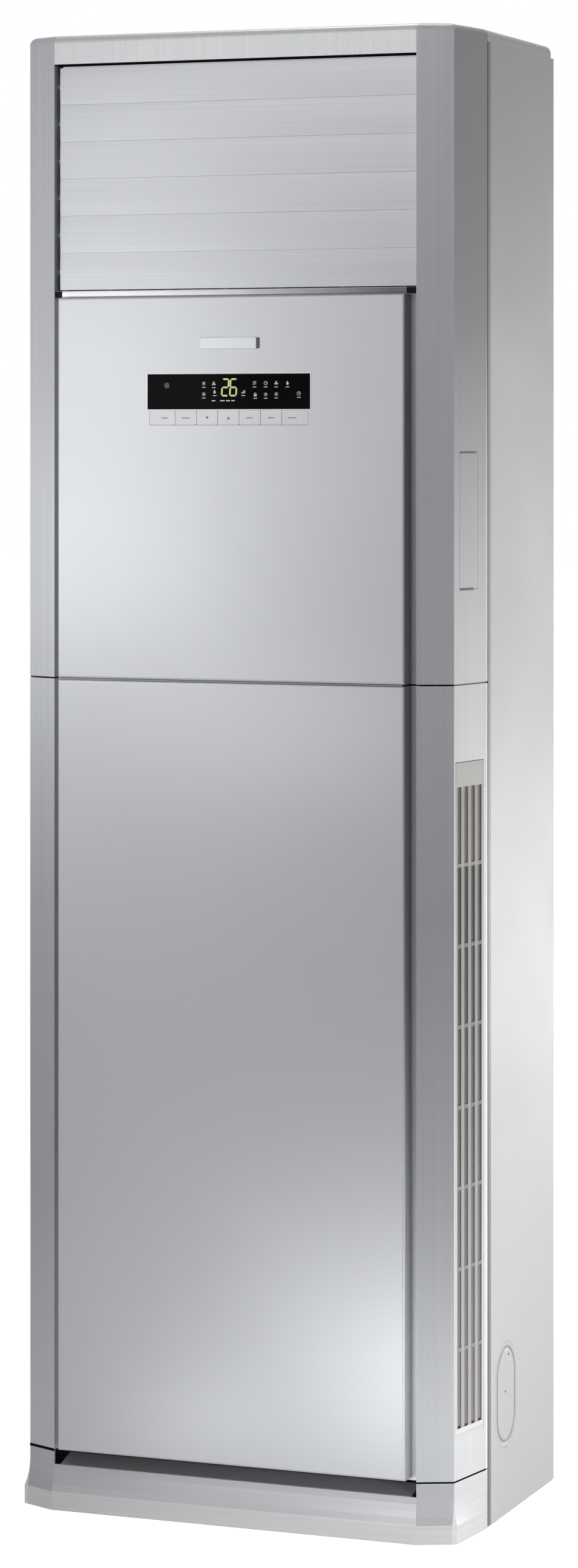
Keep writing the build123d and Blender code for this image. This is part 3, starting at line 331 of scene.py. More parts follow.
def powder_coat(name, colour, front_fold=False):
    """Powder coat on sheet steel, with its orange peel and a few rubbed clouds.

    The front fold of the side sheets is darkened with painted shade.
    """
    finish = Finish(name, colour, 0.42, 0.05)
    if front_fold:
        # Painted shade along the front fold
        fold = finish.axis("Y").fall(-0.062, 400)
        finish.colour = finish.mix(fold, colour, darker(colour, 0.28))
    peel = finish.spots(0.0022)
    clouds = finish.spots(0.2, 3.0)
    finish.feed("Roughness", 0.36 + 0.12 * clouds)
    finish.shade((clouds * 0.6 + peel * 0.2).clipped(), finish.towards_black(0.1))
    finish.relief(peel, 0.00005)
    return finish.material


def pressed_cover(name, colour):
    """Powder coated plug with a pressed line round it, inside its obround edge; both get painted
    shade.
    """
    finish = Finish(name, colour, 0.42, 0.05)
    peel = finish.spots(0.0022)
    along = abs(finish.axis("Z") - COVER_MIDDLE_Z * MM)
    beyond = finish.maths("MAXIMUM", along - COVER_HALF_STRAIGHT * MM, 0.0)
    across = finish.axis("Y") - COVER_MIDDLE_Y * MM
    away = finish.node("ShaderNodeCombineXYZ", {}, {"X": beyond, "Y": across})
    distance = finish.length(away)
    line = (1 - abs(distance - COVER_LINE_RADIUS * MM) * 270).clipped()
    edge = distance.rise(COVER_EDGE_RADIUS * MM, 900)
    finish.feed("Roughness", 0.36 + 0.1 * peel)
    # Painted shade in the pressed line and in the gap at the edge
    finish.shade((line * 0.95 + edge + peel * 0.2).clipped(), darker(colour, 0.34))
    finish.relief(peel * 0.05 - line - edge, 0.0014)
    return finish.material


def moulded_plastic(name, colour, roughness, grain=0.0008, depth=0.00004, **constants):
    """Moulded plastic with a spark-eroded grain and slight flow marks."""
    finish = Finish(name, colour, roughness, **constants)
    sparks = finish.spots(grain)
    flow = finish.spots(0.05, 3.0)
    finish.feed("Roughness", roughness - 0.06 + 0.12 * flow)
    finish.shade((0.5 * flow + 0.3 * sparks).clipped(), darker(colour, 0.85))
    finish.relief(sparks, depth)
    return finish.material


def slotted_grille(name, colour):
    """Grille moulding, with painted shade in bands beside its slots and on everything below its
    face.
    """
    finish = Finish(name, colour, 0.42)
    sparks = finish.spots(0.0008)
    splay = STRIP_SPLAY / STRIP_LENGTH
    straight = STRIP_DEPTH / STRIP_LENGTH
    out_x = finish.from_middle() - X_BEVEL_OUT * MM
    back_y = finish.axis("Y") - Y_BEVEL * MM
    along = out_x * splay + back_y * straight
    depth = back_y * splay - out_x * straight
    height = finish.axis("Z")

    # How far it is to the middle of the nearest slot; the offset keeps the sum above nought
    half_pitch = SLOT_PITCH / 2 * MM
    offset = 9 * half_pitch - SLOTS_MIDDLE * MM
    from_slot = finish.maths("PINGPONG", along + offset, half_pitch)
    # Painted shade: bands beside the slots, and the walls below the face
    beside = from_slot.fall(0.0062, 900)
    across = abs(along - SLOTS_MIDDLE * MM) < SLOTS_HALF_WIDTH * MM
    field = across * (height > SLOTS_LOW * MM) * (height < SLOTS_HIGH * MM)
    below = (depth * 500).clipped()

    foot = foot_light(finish)
    tab = height > TAB_LOW * MM
    # Bars darker than the face, paler towards the foot as painted light, and paler again over the
    # tab
    bar, slot_painted_shade = [
        finish.mix(tab, finish.mix(foot, middle, lower), upper)
        for middle, lower, upper in (
            (tone(168, 166, 163), tone(186, 182, 184), tone(192, 188, 181)),
            (tone(116, 114, 112), tone(152, 148, 150), tone(158, 153, 146)),
        )
    ]
    slotted = finish.mix(finish.maths("MAXIMUM", beside, below), bar, slot_painted_shade)
    finish.feed("Base Color", finish.mix(finish.maths("MAXIMUM", field, below), colour, slotted))
    finish.feed("Roughness", 0.38 + 0.12 * sparks)
    finish.relief(sparks, 0.00004)
    return finish.material


def woven_net(name, thread, hole, lit_foot_thread=None, lit_foot_hole=None):
    """Net of round threads; its threads and holes may be paler towards the grille's foot, as
    painted light.
    """
    turns = 2 * math.pi / 0.0013
    finish = Finish(name, thread, 0.6)
    foot = foot_light(finish)
    across = (finish.axis("Y") * turns).wave()
    up = (finish.axis("Z") * turns).wave()
    weave = finish.maths("MAXIMUM", across, up)
    holes = (0.1 - weave * 2).clipped()
    threads = finish.mix(foot, thread, lit_foot_thread or thread)
    gaps = finish.mix(foot, hole, lit_foot_hole or hole)
    finish.feed("Base Color", finish.mix(holes, threads, gaps))
    finish.relief(weave, 0.0002)
    return finish.material


def dark_glass(name):
    """Smoked, hard-coated display lens with faint wipe marks."""
    finish = Finish(name, tone(4, 4, 5), 0.12, Specular_IOR_Level=0.02)
    wipes = finish.spots(0.004, 3.0, (5, 1, 1))
    finish.feed("Roughness", 0.1 + 0.1 * wipes)
    finish.shade(wipes * 0.5, tone(2, 2, 3))
    return finish.material


def lit_plastic(name, colour, strength):
    """Light from a diode behind a diffuser, a little uneven."""
    finish = Finish(name, darker(colour, 0.5), 0.4)
    uneven = finish.spots(0.002)
    finish.feed("Emission Color", finish.mix(uneven, colour, darker(colour, 0.7)))
    finish.feed("Emission Strength", strength)
    return finish.material


def brushed_metal(name, colour, along, roughness, metallic=1.0):
    """Brushed metal; the lines run along the long axis."""
    finish = Finish(name, colour, roughness, metallic)
    lines = finish.spots(0.0005, 3.0, along)
    finish.feed("Roughness", roughness - 0.06 + 0.16 * lines)
    finish.shade(lines * 0.6, darker(colour, 0.75))
    finish.relief(lines, 0.00002)
    return finish.material


def polished_strip(name):
    """Lacquered trim with a painted reflection: bright at the left, darker towards the right."""
    finish = Finish(name, tone(232, 232, 234), 0.3, 0.2)
    lines = finish.spots(0.0006, 3.0, (60, 1, 1))
    # Painted reflection: paler at the left, darker towards the right
    across = finish.axis("X")
    middle = finish.mix(across.rise(-0.16, 5), finish.colour, tone(194, 195, 198))
    finish.colour = finish.mix(across.rise(0.01, 5), middle, tone(90, 91, 96))
    finish.feed("Roughness", 0.24 + 0.14 * lines)
    finish.shade(lines * 0.3, finish.towards_black(0.2))
    finish.relief(lines, 0.00002)
    return finish.material


def galvanised_steel(name):
    """Zinc coat with its crystal spangle."""
    colour = tone(176, 179, 182)
    finish = Finish(name, colour, 0.42, 0.9)
    grey = finish.node("ShaderNodeRGBToBW", {}, {"Color": finish.cells(90, "Color")})
    finish.feed("Roughness", 0.3 + 0.26 * grey)
    finish.shade(grey * 0.7, darker(colour, 0.72))
    finish.relief(finish.spots(0.003, 3.0), 0.00004)
    return finish.material


def circuit_board(name):
    """Green solder mask with copper tracks under it."""
    finish = Finish(name, tone(18, 74, 44), 0.3, Coat_Weight=0.3)
    inputs = {"Vector": finish.place, "Scale": 130.0, "Mortar Size": 0.09}
    tracks = finish.node("ShaderNodeTexBrick", {"offset": 0.35}, inputs, output="Fac")
    finish.shade(tracks * 0.8, tone(58, 122, 66))
    finish.relief(tracks, 0.00005)
    return finish.material


def finned_coil(name):
    """Stack of thin aluminium fins seen edge on, a little uneven, with painted shade between the
    fins.
    """
    fin_pitch = 0.0018
    finish = Finish(name, tone(188, 191, 194), 0.38, 0.85)
    bent = finish.spots(0.03)
    wave = (finish.axis("X") * (2 * math.pi / fin_pitch) + bent * 2).wave()
    # Painted shade in the gaps between the fins
    gap = wave > 0.1
    finish.shade(gap * 0.9, tone(46, 48, 52))
    finish.relief(wave, 0.0003)
    return finish.material


def foam_liner(name):
    """Expanded foam duct lining, with its bead pattern."""
    colour = tone(70, 72, 75)
    finish = Finish(name, colour, 0.8)
    beads = finish.cells(260, "Distance")
    finish.shade((beads * 0.9).clipped(), darker(colour, 0.6))
    finish.relief(1 - beads, 0.0003)
    return finish.material


def copper_tube(name):
    """Drawn copper, dulled and browned in places."""
    finish = Finish(name, tone(196, 118, 78), 0.32, 1.0)
    tarnish = finish.spots(0.02, 4.0)
    finish.feed("Roughness", 0.2 + 0.35 * tarnish)
    finish.shade(tarnish * 0.9, tone(120, 68, 46))
    finish.relief(finish.spots(0.0015), 0.00005)
    return finish.material


# Materials of the CAD nodes -----------------------------------------------------------

SILVER = tone(196, 198, 202)
# Painted light: the side strips and their caps are paler than the rest of the lacquer
STRIP_PAINTED_LIGHT = tone(228, 229, 230)
# Painted highlight along the rear edge of the side strips
EDGE_PAINTED_HIGHLIGHT = tone(250, 250, 250)
# Painted shade: the upper side strips and their caps go darker towards the head
HEAD_PAINTED_SHADE = tone(176, 178, 181)
# Painted light: the front of the head, above the outlet, is paler
HEAD_FRONT_PAINTED_LIGHT = tone(206, 208, 210)
# Painted shade down the bevels of the lower frame
BEVEL_PAINTED_SHADE = tone(178, 180, 184)
# Painted light: the grooves beside the centre panels are paler
GROOVE_PAINTED_LIGHT = tone(236, 237, 240)
# Painted shade in the hollow flare of the plinth
FLARE_PAINTED_SHADE = tone(184, 185, 189)
# Painted shade on the rounded side edges of the centre panels
PANEL_EDGE_PAINTED_SHADE = tone(132, 133, 138)
SHEET_GREY = tone(202, 204, 206)

# Axes along which a finish is drawn out
UPRIGHT = (1, 1, 160)
LEVEL = (160, 1, 1)
ALL_ROUND = (90, 90, 1)
DRAWN_OUT = (14, 1, 1)
EVEN = (1, 1, 1)

PLINTH_AREAS = [(plinth_flare, FLARE_PAINTED_SHADE), (strip_share, STRIP_PAINTED_LIGHT)]
PANEL_AREAS = [(panel_edge, PANEL_EDGE_PAINTED_SHADE)]
CAP_AREAS = [(head_rise, HEAD_PAINTED_SHADE)]
UPPER_AREAS = [
    (strip_share, STRIP_PAINTED_LIGHT),
    (strip_head, HEAD_PAINTED_SHADE),
    (strip_edge, EDGE_PAINTED_HIGHLIGHT),
    (head_front, HEAD_FRONT_PAINTED_LIGHT),
    (groove_floor, GROOVE_PAINTED_LIGHT),
]
LOWER_AREAS = [
    (strip_share, STRIP_PAINTED_LIGHT),
    (strip_edge, EDGE_PAINTED_HIGHLIGHT),
    (bevel_shade, BEVEL_PAINTED_SHADE),
    (groove_floor, GROOVE_PAINTED_LIGHT),
]

# By the record's slots
finishes = {
    "plinth_plastic": silver_paint("plinth_lacquer", tone(214, 214, 215), ALL_ROUND, PLINTH_AREAS),
    "louvre_plastic": silver_paint("louvre_lacquer", SILVER, LEVEL),
    "cabinet_paint": powder_coat("cabinet_powder_coat", tone(208, 210, 212)),
    "dark_window": dark_glass("smoked_lens"),
    "key_plastic": moulded_plastic("key_plastic", tone(240, 240, 246), 0.35),
    "badge_metal": brushed_metal("badge_metal", tone(200, 202, 205), DRAWN_OUT, 0.34, 0.3),
    "board_green": circuit_board("solder_mask"),
    "grille_plastic": slotted_grille("grille_plastic", tone(242, 240, 236)),
    "filter_plastic": moulded_plastic("filter_plastic", tone(92, 90, 88), 0.6),
    "vane_plastic": moulded_plastic("vane_plastic", tone(178, 181, 184), 0.5),
    "duct_plastic": foam_liner("duct_foam"),
    "zinc_steel": galvanised_steel("zinc_coat"),
    "screw_steel": brushed_metal("screw_steel", tone(186, 188, 190), EVEN, 0.34),
    "wheel_plastic": moulded_plastic(
        "wheel_plastic", tone(58, 60, 64), 0.5, grain=0.002, depth=0.00008
    ),
    "motor_paint": powder_coat("motor_enamel", tone(52, 54, 58)),
    "pan_plastic": moulded_plastic("pan_plastic", tone(212, 213, 210), 0.4),
    "fin_aluminium": finned_coil("coil_fins"),
    "copper": copper_tube("copper_tube"),
    "link_plastic": moulded_plastic("link_plastic", tone(222, 220, 212), 0.38),
}

# By node, where it isn't the slot's. The centre panels have no drawn streaks; the frames do
panel_silver = silver_paint("panel_lacquer", SILVER, areas=PANEL_AREAS)
cap_silver = silver_paint("cap_lacquer", STRIP_PAINTED_LIGHT, UPRIGHT, CAP_AREAS)
side_sheet = powder_coat("side_powder_coat", SHEET_GREY, front_fold=True)
knock_out = pressed_cover("pressed_cover", SHEET_GREY)
own_finishes = {
    "upper_centre_panel": panel_silver,
    "lower_centre_panel": panel_silver,
    "upper_front_frame": silver_paint("upper_frame_lacquer", SILVER, UPRIGHT, UPPER_AREAS),
    "lower_front_frame": silver_paint("lower_frame_lacquer", SILVER, UPRIGHT, LOWER_AREAS),
    "side_cap_right": cap_silver,
    "side_cap_left": cap_silver,
    "side_panel_right": side_sheet,
    "side_panel_left": side_sheet,
    "pipe_cover_right": knock_out,
    "pipe_cover_left": knock_out,
}
for name, node in nodes.items():
    for place in node.material_slots:
        slot = place.material.name.split(".")[0]
        place.material = own_finishes.get(name) or finishes[slot]


# Shapes -------------------------------------------------------------------------------


def piece(name, build, material, slot, body="cabinet", **details):
    """A piece that build makes on an empty bmesh, in millimetres; it rides on a body."""
    shape = bmesh.new()
    build(shape, **details)
    bmesh.ops.scale(shape, vec=(MM, MM, MM), verts=shape.verts)
    bmesh.ops.recalc_face_normals(shape, faces=shape.faces)
    mesh = bpy.data.meshes.new(name)
    shape.to_mesh(mesh)
    shape.free()
    mesh.materials.append(material)
    made = bpy.data.objects.new(name, mesh)
    bpy.context.scene.collection.objects.link(made)
    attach(made, body)
    return made


def band(shape, lower, upper):
    """Faces all the way round between two closed rows of vertices."""
    for step in range(len(lower)):
        after = (step + 1) % len(lower)
        shape.faces.new((lower[step], lower[after], upper[after], upper[step]))


def closed_rings(shape, rings):
    """A solid through closed rings of the same number of places, with its two ends filled."""
    made = [[shape.verts.new(place) for place in ring] for ring in rings]
    shape.faces.new(made[0])
    shape.faces.new(list(reversed(made[-1])))
    for lower, upper in zip(made, made[1:]):
        band(shape, lower, upper)


def prism(shape, outline, front, back):
    """A solid over a closed (x, z) outline, between two Y places."""
    closed_rings(shape, [[(x, y, z) for x, z in outline] for y in (front, back)])


def rail(shape, profile, left, right):
    """A solid over a closed (y, z) profile, between two X places."""
    closed_rings(shape, [[(x, y, z) for y, z in profile] for x in (left, right)])


def box_outline(x_low, x_high, z_low, z_high):
    return [(x_low, z_low), (x_high, z_low), (x_high, z_high), (x_low, z_high)]


def ring_outline(x, z, radius, sides, start=0.0):
    points = []
    for side in range(sides):
        angle = start + 2 * math.pi * side / sides
        points.append((x + radius * math.cos(angle), z + radius * math.sin(angle)))
    return points


# Display ------------------------------------------------------------------------------

# Figures and icons lie on the lens, a tenth of a millimetre thick
LENS = Y_PANEL + 0.3
LENS_LEFT = -109.3
LENS_RIGHT = 109.3
LENS_LOW = 1394.6
LENS_HIGH = 1439.6
INK_FRONT = LENS - 0.12
INK_BACK = LENS + 0.05

DIGIT_WIDTH = 8.4
DIGIT_HEIGHT = 20.6
DIGIT_FOOT = 1412.1
DIGIT_SLANT = 0.06
SEGMENT_HALF = 1.05
SEGMENT_GAP = 0.35
DIGIT_SEGMENTS = {
    "top": ((0, 1), (1, 1)),
    "middle": ((0, 0.5), (1, 0.5)),
    "bottom": ((0, 0), (1, 0)),
    "upper_left": ((0, 0.5), (0, 1)),
    "upper_right": ((1, 0.5), (1, 1)),
    "lower_left": ((0, 0), (0, 0.5)),
    "lower_right": ((1, 0), (1, 0.5)),
}
TWO = ("top", "upper_right", "middle", "lower_left", "bottom")
SIX = ("top", "upper_left", "middle", "lower_left", "lower_right", "bottom")


def inked(shape, outline):
    """A patch laid on the lens."""
    prism(shape, outline, INK_FRONT, INK_BACK)


def stroke(shape, start, end, width=0.5):
    """A straight bar between two (x, z) points on the lens."""
    run = Vector((end[0] - start[0], end[1] - start[1]))
    side = Vector((-run.y, run.x)).normalized() * width / 2
    corners = []
    for point, sign in ((start, 1), (start, -1), (end, -1), (end, 1)):
        corners.append((point[0] + sign * side.x, point[1] + sign * side.y))
    inked(shape, corners)


def segment(shape, left, ends):
    """One lit segment, pointed at both ends, slanted as the figure is."""
    points = []
    for across, up in ends:
        z = DIGIT_FOOT + up * DIGIT_HEIGHT
        slant = (z - DIGIT_FOOT) * DIGIT_SLANT
        points.append(Vector((left + across * DIGIT_WIDTH + slant, z)))
    run = (points[1] - points[0]).normalized()
    side = Vector((-run.y, run.x)) * SEGMENT_HALF
    near = points[0] + run * SEGMENT_GAP
    far = points[1] - run * SEGMENT_GAP
    point = run * SEGMENT_HALF
    outline = [near, near + point + side, far - point + side, far]
    outline += [far - point - side, near + point - side]
    inked(shape, [(p.x, p.y) for p in outline])


def set_figures(shape):
    for left, lit in ((-9.0, TWO), (1.9, SIX)):
        for name in lit:
            segment(shape, left, DIGIT_SEGMENTS[name])


def rays(shape, x, z, count, inner, outer, width, start=0.0):
    for index in range(count):
        angle = start + 2 * math.pi * index / count
        turn = Vector((math.cos(angle), math.sin(angle)))
        first = (x + turn.x * inner, z + turn.y * inner)
        last = (x + turn.x * outer, z + turn.y * outer)
        stroke(shape, first, last, width)


def hoop(shape, x, z, radius):
    """A thin ring made of short bars."""
    sides = 14
    points = ring_outline(x, z, radius, sides)
    for index in range(sides):
        stroke(shape, points[index], points[(index + 1) % sides])


def snow_icon(shape, x, z):
    rays(shape, x, z, count=6, inner=0.0, outer=2.6, width=0.55, start=math.pi / 2)


def sun_icon(shape, x, z):
    inked(shape, ring_outline(x, z, radius=1.2, sides=10))
    rays(shape, x, z, count=8, inner=1.7, outer=2.7, width=0.45)


def drop_icon(shape, x, z):
    outline = ring_outline(x, z - 0.6, radius=1.7, sides=10, start=math.radians(-234))
    inked(shape, [(x, z + 2.8), *outline[:-1]])


def fan_icon(shape, x, z):
    for index in range(3):
        angle = math.pi / 2 + 2 * math.pi * index / 3
        centre = (x + 1.5 * math.cos(angle), z + 1.5 * math.sin(angle))
        inked(shape, ring_outline(*centre, radius=1.15, sides=8))


def clock_icon(shape, x, z):
    hoop(shape, x, z, radius=2.3)
    stroke(shape, (x, z), (x, z + 1.5))
    stroke(shape, (x, z), (x + 1.1, z))


def lock_icon(shape, x, z):
    inked(shape, box_outline(x - 1.9, x + 1.9, z - 2.4, z + 0.4))
    hoop(shape, x, z + 0.7, radius=1.3)


def bars_icon(shape, x, z):
    for step in range(4):
        left = x - 2.5 + step * 1.35
        inked(shape, box_outline(left, left + 0.8, z - 2.2, z - 0.9 + step))


def swing_icon(shape, x, z):
    for level in (-1.6, 0.0, 1.6):
        stroke(shape, (x - 2.2, z + level), (x + 2.2, z + level + 0.7), width=0.55)


def set_icons(shape):
    """Mode icons left of the figures, function icons right of them, each over a short bar."""
    for make, x, z in (
        (snow_icon, -33, 1427.5),
        (sun_icon, -33, 1414.0),
        (fan_icon, -19.5, 1427.0),
        (drop_icon, -18.5, 1417.0),
        (bars_icon, 20, 1417.0),
        (swing_icon, 35, 1427.5),
        (clock_icon, 50, 1427.5),
        (fan_icon, 64, 1427.5),
        (drop_icon, 79, 1427.5),
        (lock_icon, 36, 1413.5),
        (snow_icon, 50, 1413.5),
        (sun_icon, 64, 1413.8),
        (clock_icon, 94, 1414.5),
    ):
        make(shape, x, z)
        stroke(shape, (x - 2.4, z - 4.8), (x + 2.4, z - 4.8), width=0.9)
    foot = 1405.8
    for start, end in ((-22.5, -17.5), (-11, -5), (-3, 2), (4, 8.5)):
        stroke(shape, (start, foot), (end, foot), width=1.3)


def set_receiver(shape):
    """Round eye of the remote control's receiver."""
    eye = ring_outline(-83, 1425, radius=3.6, sides=24)
    prism(shape, eye, INK_FRONT + 0.05, INK_BACK)


def set_bead(shape):
    """Thin pale bead round the lens, proud of the panel."""
    side, foot, head = 1.3, 1.0, 1.5
    left, right = LENS_LEFT - side, LENS_RIGHT + side
    for edges in (
        (left, right, LENS_HIGH, LENS_HIGH + head),
        (left, right, LENS_LOW - foot, LENS_LOW),
        (left, LENS_LEFT, LENS_LOW, LENS_HIGH),
        (LENS_RIGHT, right, LENS_LOW, LENS_HIGH),
    ):
        prism(shape, box_outline(*edges), Y_PANEL - 0.35, Y_PANEL + 0.4)


figure_light = lit_plastic("figure_light", tone(206, 210, 132), 0.62)
icon_light = lit_plastic("icon_light", tone(196, 194, 188), 0.55)
receiver_lens = moulded_plastic("receiver_lens", tone(34, 31, 33), 0.5)
bead_plastic = moulded_plastic("bead_plastic", tone(248, 248, 250), 0.3)
piece("display_figures", set_figures, figure_light, "dark_window")
piece("display_icons", set_icons, icon_light, "dark_window")
piece("remote_receiver", set_receiver, receiver_lens, "dark_window")
piece("window_bead", set_bead, bead_plastic, "silver_panel")


# Badge and keys -----------------------------------------------------------------------


def set_badge_shadow(shape):
    """Dark piece at the badge's right end, stepped at its edge: a painted shadow of the badge."""
    back = Y_PANEL + 0.05
    prism(shape, box_outline(38.0, 41.4, 1470.8, 1484.4), Y_PANEL - 0.7, back)
    prism(shape, box_outline(41.4, 42.0, 1471.4, 1483.8), Y_PANEL - 0.3, back)


def set_key_mark(shape, number):
    """What is printed on a key: short bars, or an arrow on the third and the fourth key."""
    middle = (number - 4) * KEY_PITCH
    if number in (3, 4):
        half = 2.0
        point = KEY_MIDDLE + (-1.7 if number == 3 else 1.7)
        tail = 2 * KEY_MIDDLE - point
        outlines = [[(middle - half, tail), (middle + half, tail), (middle, point)]]
    else:
        half = 5.5 if number in (2, 7) else 4.2
        count = 6
        pitch = 2 * half / count
        starts = [middle - half + bar * pitch for bar in range(count)]
        low, high = KEY_MIDDLE - 0.75, KEY_MIDDLE + 0.75
        outlines = [box_outline(left, left + pitch * 0.62, low, high) for left in starts]
    face = Y_PANEL + 0.2
    for outline in outlines:
        prism(shape, outline, face - 0.06, face + 0.05)


# Grey for the painted shadow at the badge's right end
shadow_grey_plastic = moulded_plastic("shadow_grey_plastic", tone(112, 112, 116), 0.6, Specular_IOR_Level=0.1)
key_print = moulded_plastic("key_print", tone(96, 96, 104), 0.6)
piece("badge_shadow", set_badge_shadow, shadow_grey_plastic, "badge_metal")
for number in range(1, 8):
    name = f"key_mark_{number}"
    piece(name, set_key_mark, key_print, "key_plastic", f"key_{number}", number=number)


# Screws -------------------------------------------------------------------------------


def ring_edges(shape, ring):
    after = ring[1:] + ring[:1]
    return [shape.edges.get(ends) for ends in zip(ring, after)]


def screw_head(shape, place, radius, rise):
    """Domed head with a cross recess; place turns local +Z out of the surface."""

    def ring_at(outline, up):
        return [shape.verts.new(place @ Vector((x, y, rise * up))) for x, y in outline]

    top_level = 0.96
    rings = []
    for share, up in ((1.0, 0.0), (1.0, 0.35), (0.86, 0.75), (0.55, top_level)):
        rings.append(ring_at(ring_outline(0, 0, radius * share, sides=24), up))
    for lower, upper in zip(rings, rings[1:]):
        band(shape, lower, upper)
    arm = radius * 0.5
    half = radius * 0.13
    outline = [(arm, half), (half, half), (half, arm), (-half, arm), (-half, half), (-arm, half)]
    outline += [(-x, -y) for x, y in outline]
    top = ring_at(outline, top_level)
    floor = ring_at([(x * 0.8, y * 0.8) for x, y in outline], 0.45)
    band(shape, top, floor)
    shape.faces.new(floor)
    shape.faces.new(list(reversed(rings[0])))
    edges = ring_edges(shape, rings[-1]) + ring_edges(shape, top)
    bmesh.ops.triangle_fill(shape, use_beauty=True, edges=edges)


def set_case_screws(shape):
    """A head on each seat down both rear folds, each turned its own way."""
    out_of_back = Matrix.Rotation(-math.pi / 2, 4, "X")
    for side in (-1, 1):
        for height in (70, 500, 930, 1360, 1800):
            seat = Matrix.Translation((side * (HALF_WIDTH - 9), Y_REAR, height))
            turn = Matrix.Rotation(0.3 * height + side, 4, "Z")
            screw_head(shape, seat @ out_of_back @ turn, radius=4.4, rise=1.9)


screw_heads = piece("case_screw_heads", set_case_screws, finishes["screw_steel"], "screw_steel")
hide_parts("case_screws")


# Side strips --------------------------------------------------------------------------


def strip_place(along, height, out):
    """A point on the right side strip, in millimetres."""
    back = Vector((STRIP_SPLAY, STRIP_DEPTH, 0)) / STRIP_LENGTH
    outward = Vector((STRIP_DEPTH, -STRIP_SPLAY, 0)) / STRIP_LENGTH
    return Vector((X_BEVEL_OUT, Y_BEVEL, height)) + back * along + outward * out


def on_side(side, along, height, out):
    """A point on the strip of that side."""
    place = strip_place(along, height, out)
    return (side * place.x, place.y, place.z)


def strip_bar(shape, side, start, end, low, high, outer, inner):
    """A bar lying on or in a side strip; start and end are measured back along it."""
    corners = ((start, low), (end, low), (end, high), (start, high))
    rings = [[on_side(side, *corner, out) for corner in corners] for out in (outer, inner)]
    closed_rings(shape, rings)


def set_net(shape, side, rows):
    """Net laid into the grille's slots, a millimetre behind its face; row 0 is the lowest."""
    width = 7.8
    pitch = (SLOTS_HIGH - SLOTS_LOW + ROW_GAP) / SLOT_ROWS
    for row in rows:
        # The net stops short of the lowest slots' rounded feet
        low = SLOTS_LOW + row * pitch + (3.0 if row == 0 else 0.1)
        high = SLOTS_LOW + (row + 1) * pitch - ROW_GAP - 0.1
        for column in range(SLOT_COLUMNS):
            middle = SLOTS_MIDDLE + (column - (SLOT_COLUMNS - 1) / 2) * SLOT_PITCH
            near = middle - width / 2
            strip_bar(shape, side, near, near + width, low, high, outer=-1.0, inner=-1.4)


def set_grille_lip(shape, side):
    """Filler under the grille's rounded foot, hollowed about the axis that the grille tilts on."""
    axis_height, axis_out = 132.5, -4.5
    hollow = 4.85
    low, high, face = 127.22, 130.3, -0.1
    near, far = 4.4, 75.6
    profile = [(low, face), (high, face)]
    for step in range(7):
        angle = math.radians(24 + 8.5 * step)
        height = axis_height - hollow * math.cos(angle)
        profile.append((height, axis_out + hollow * math.sin(angle)))
    profile.sort(key=lambda point: -point[1])
    profile.append((low, profile[-1][1]))
    ends = [[on_side(side, along, z, out) for z, out in profile] for along in (near, far)]
    closed_rings(shape, ends)


def set_cap_notches(shape, side):
    """Grey bars painting the shade of finger grips at the head and the foot of the cap."""
    for end, low, high in ((56.0, 1340.2, 1342.9), (50.0, 1171.0, 1174.2)):
        strip_bar(shape, side, 15.0, end, low, high, outer=0.2, inner=0.03)


def set_seam_tongue(shape):
    """Grey tongue in the seam between the upper and the lower front."""
    outline = box_outline(-229.5, 229.5, SEAM_LOW, SEAM_HIGH)
    prism(shape, outline, Y_PANEL + 1.4, Y_PANEL + 2.0)
    for side in (-1, 1):
        strip_bar(shape, side, 0.5, STRIP_SHOWN, SEAM_LOW, SEAM_HIGH, outer=-0.6, inner=-1.1)


# Threads and holes, then their paler copies at the grille's foot, which are painted light
NET_TONES = (tone(128, 124, 120), tone(60, 58, 56), tone(162, 158, 160), tone(96, 94, 96))
net = woven_net("filter_net", *NET_TONES)
tab_net = woven_net("filter_tab", tone(172, 167, 159), tone(130, 126, 120))
top_row = SLOT_ROWS - 1
for side, hand in SIDES:
    riding = {"slot": "filter_plastic", "body": f"grille_{hand}", "side": side}
    piece(f"filter_net_{hand}", set_net, net, rows=range(top_row), **riding)
    piece(f"filter_tab_{hand}", set_net, tab_net, rows=(top_row,), **riding)

notch_plastic = moulded_plastic("notch_plastic", tone(158, 158, 156), 0.6)
for side, hand in SIDES:
    piece(f"grille_lip_{hand}", set_grille_lip, cap_silver, "silver_panel", side=side)
    piece(f"cap_notches_{hand}", set_cap_notches, notch_plastic, "silver_panel", side=side)
piece("seam_tongue", set_seam_tongue, notch_plastic, "silver_panel")


# Outlet -------------------------------------------------------------------------------

LOUVRE_PITCH = 47.05
LOUVRE_MIDDLE = 1805.475
LOUVRE_FRONT = Y_FACE + 7
LOUVRE_CROWN = 0.6
LOUVRE_LEFT = -238.1


def set_louvre_trim(shape, number):
    """The slat's crowned face carried on over the crank plate, and the lip under the slat above."""
    middle = LOUVRE_MIDDLE - (number - 1) * LOUVRE_PITCH
    half = (LOUVRE_PITCH - 0.6) / 2
    profile = []
    for step in range(9):
        across = step / 4 - 1
        crown = LOUVRE_CROWN * (1 - across * across)
        profile.append((LOUVRE_FRONT - crown, middle + half * across))
    back = LOUVRE_FRONT + 1.5
    profile += [(back, middle + half), (back, middle - half)]
    rail(shape, profile, LOUVRE_LEFT, -235.0)
    if number > 1:
        lip = box_outline(LOUVRE_LEFT, 241.0, middle + half + 0.02, middle + half + 0.42)
        prism(shape, lip, LOUVRE_FRONT + 0.15, LOUVRE_FRONT + 1.2)


def set_outlet_shadow(shape):
    """Black strip along the roof of the outlet, above the louvres: a painted shadow in the gap
    there.
    """
    front = Y_FACE + 0.6
    prism(shape, box_outline(-242.9, 242.9, 1832.3, 1833.1), front, front + 42)


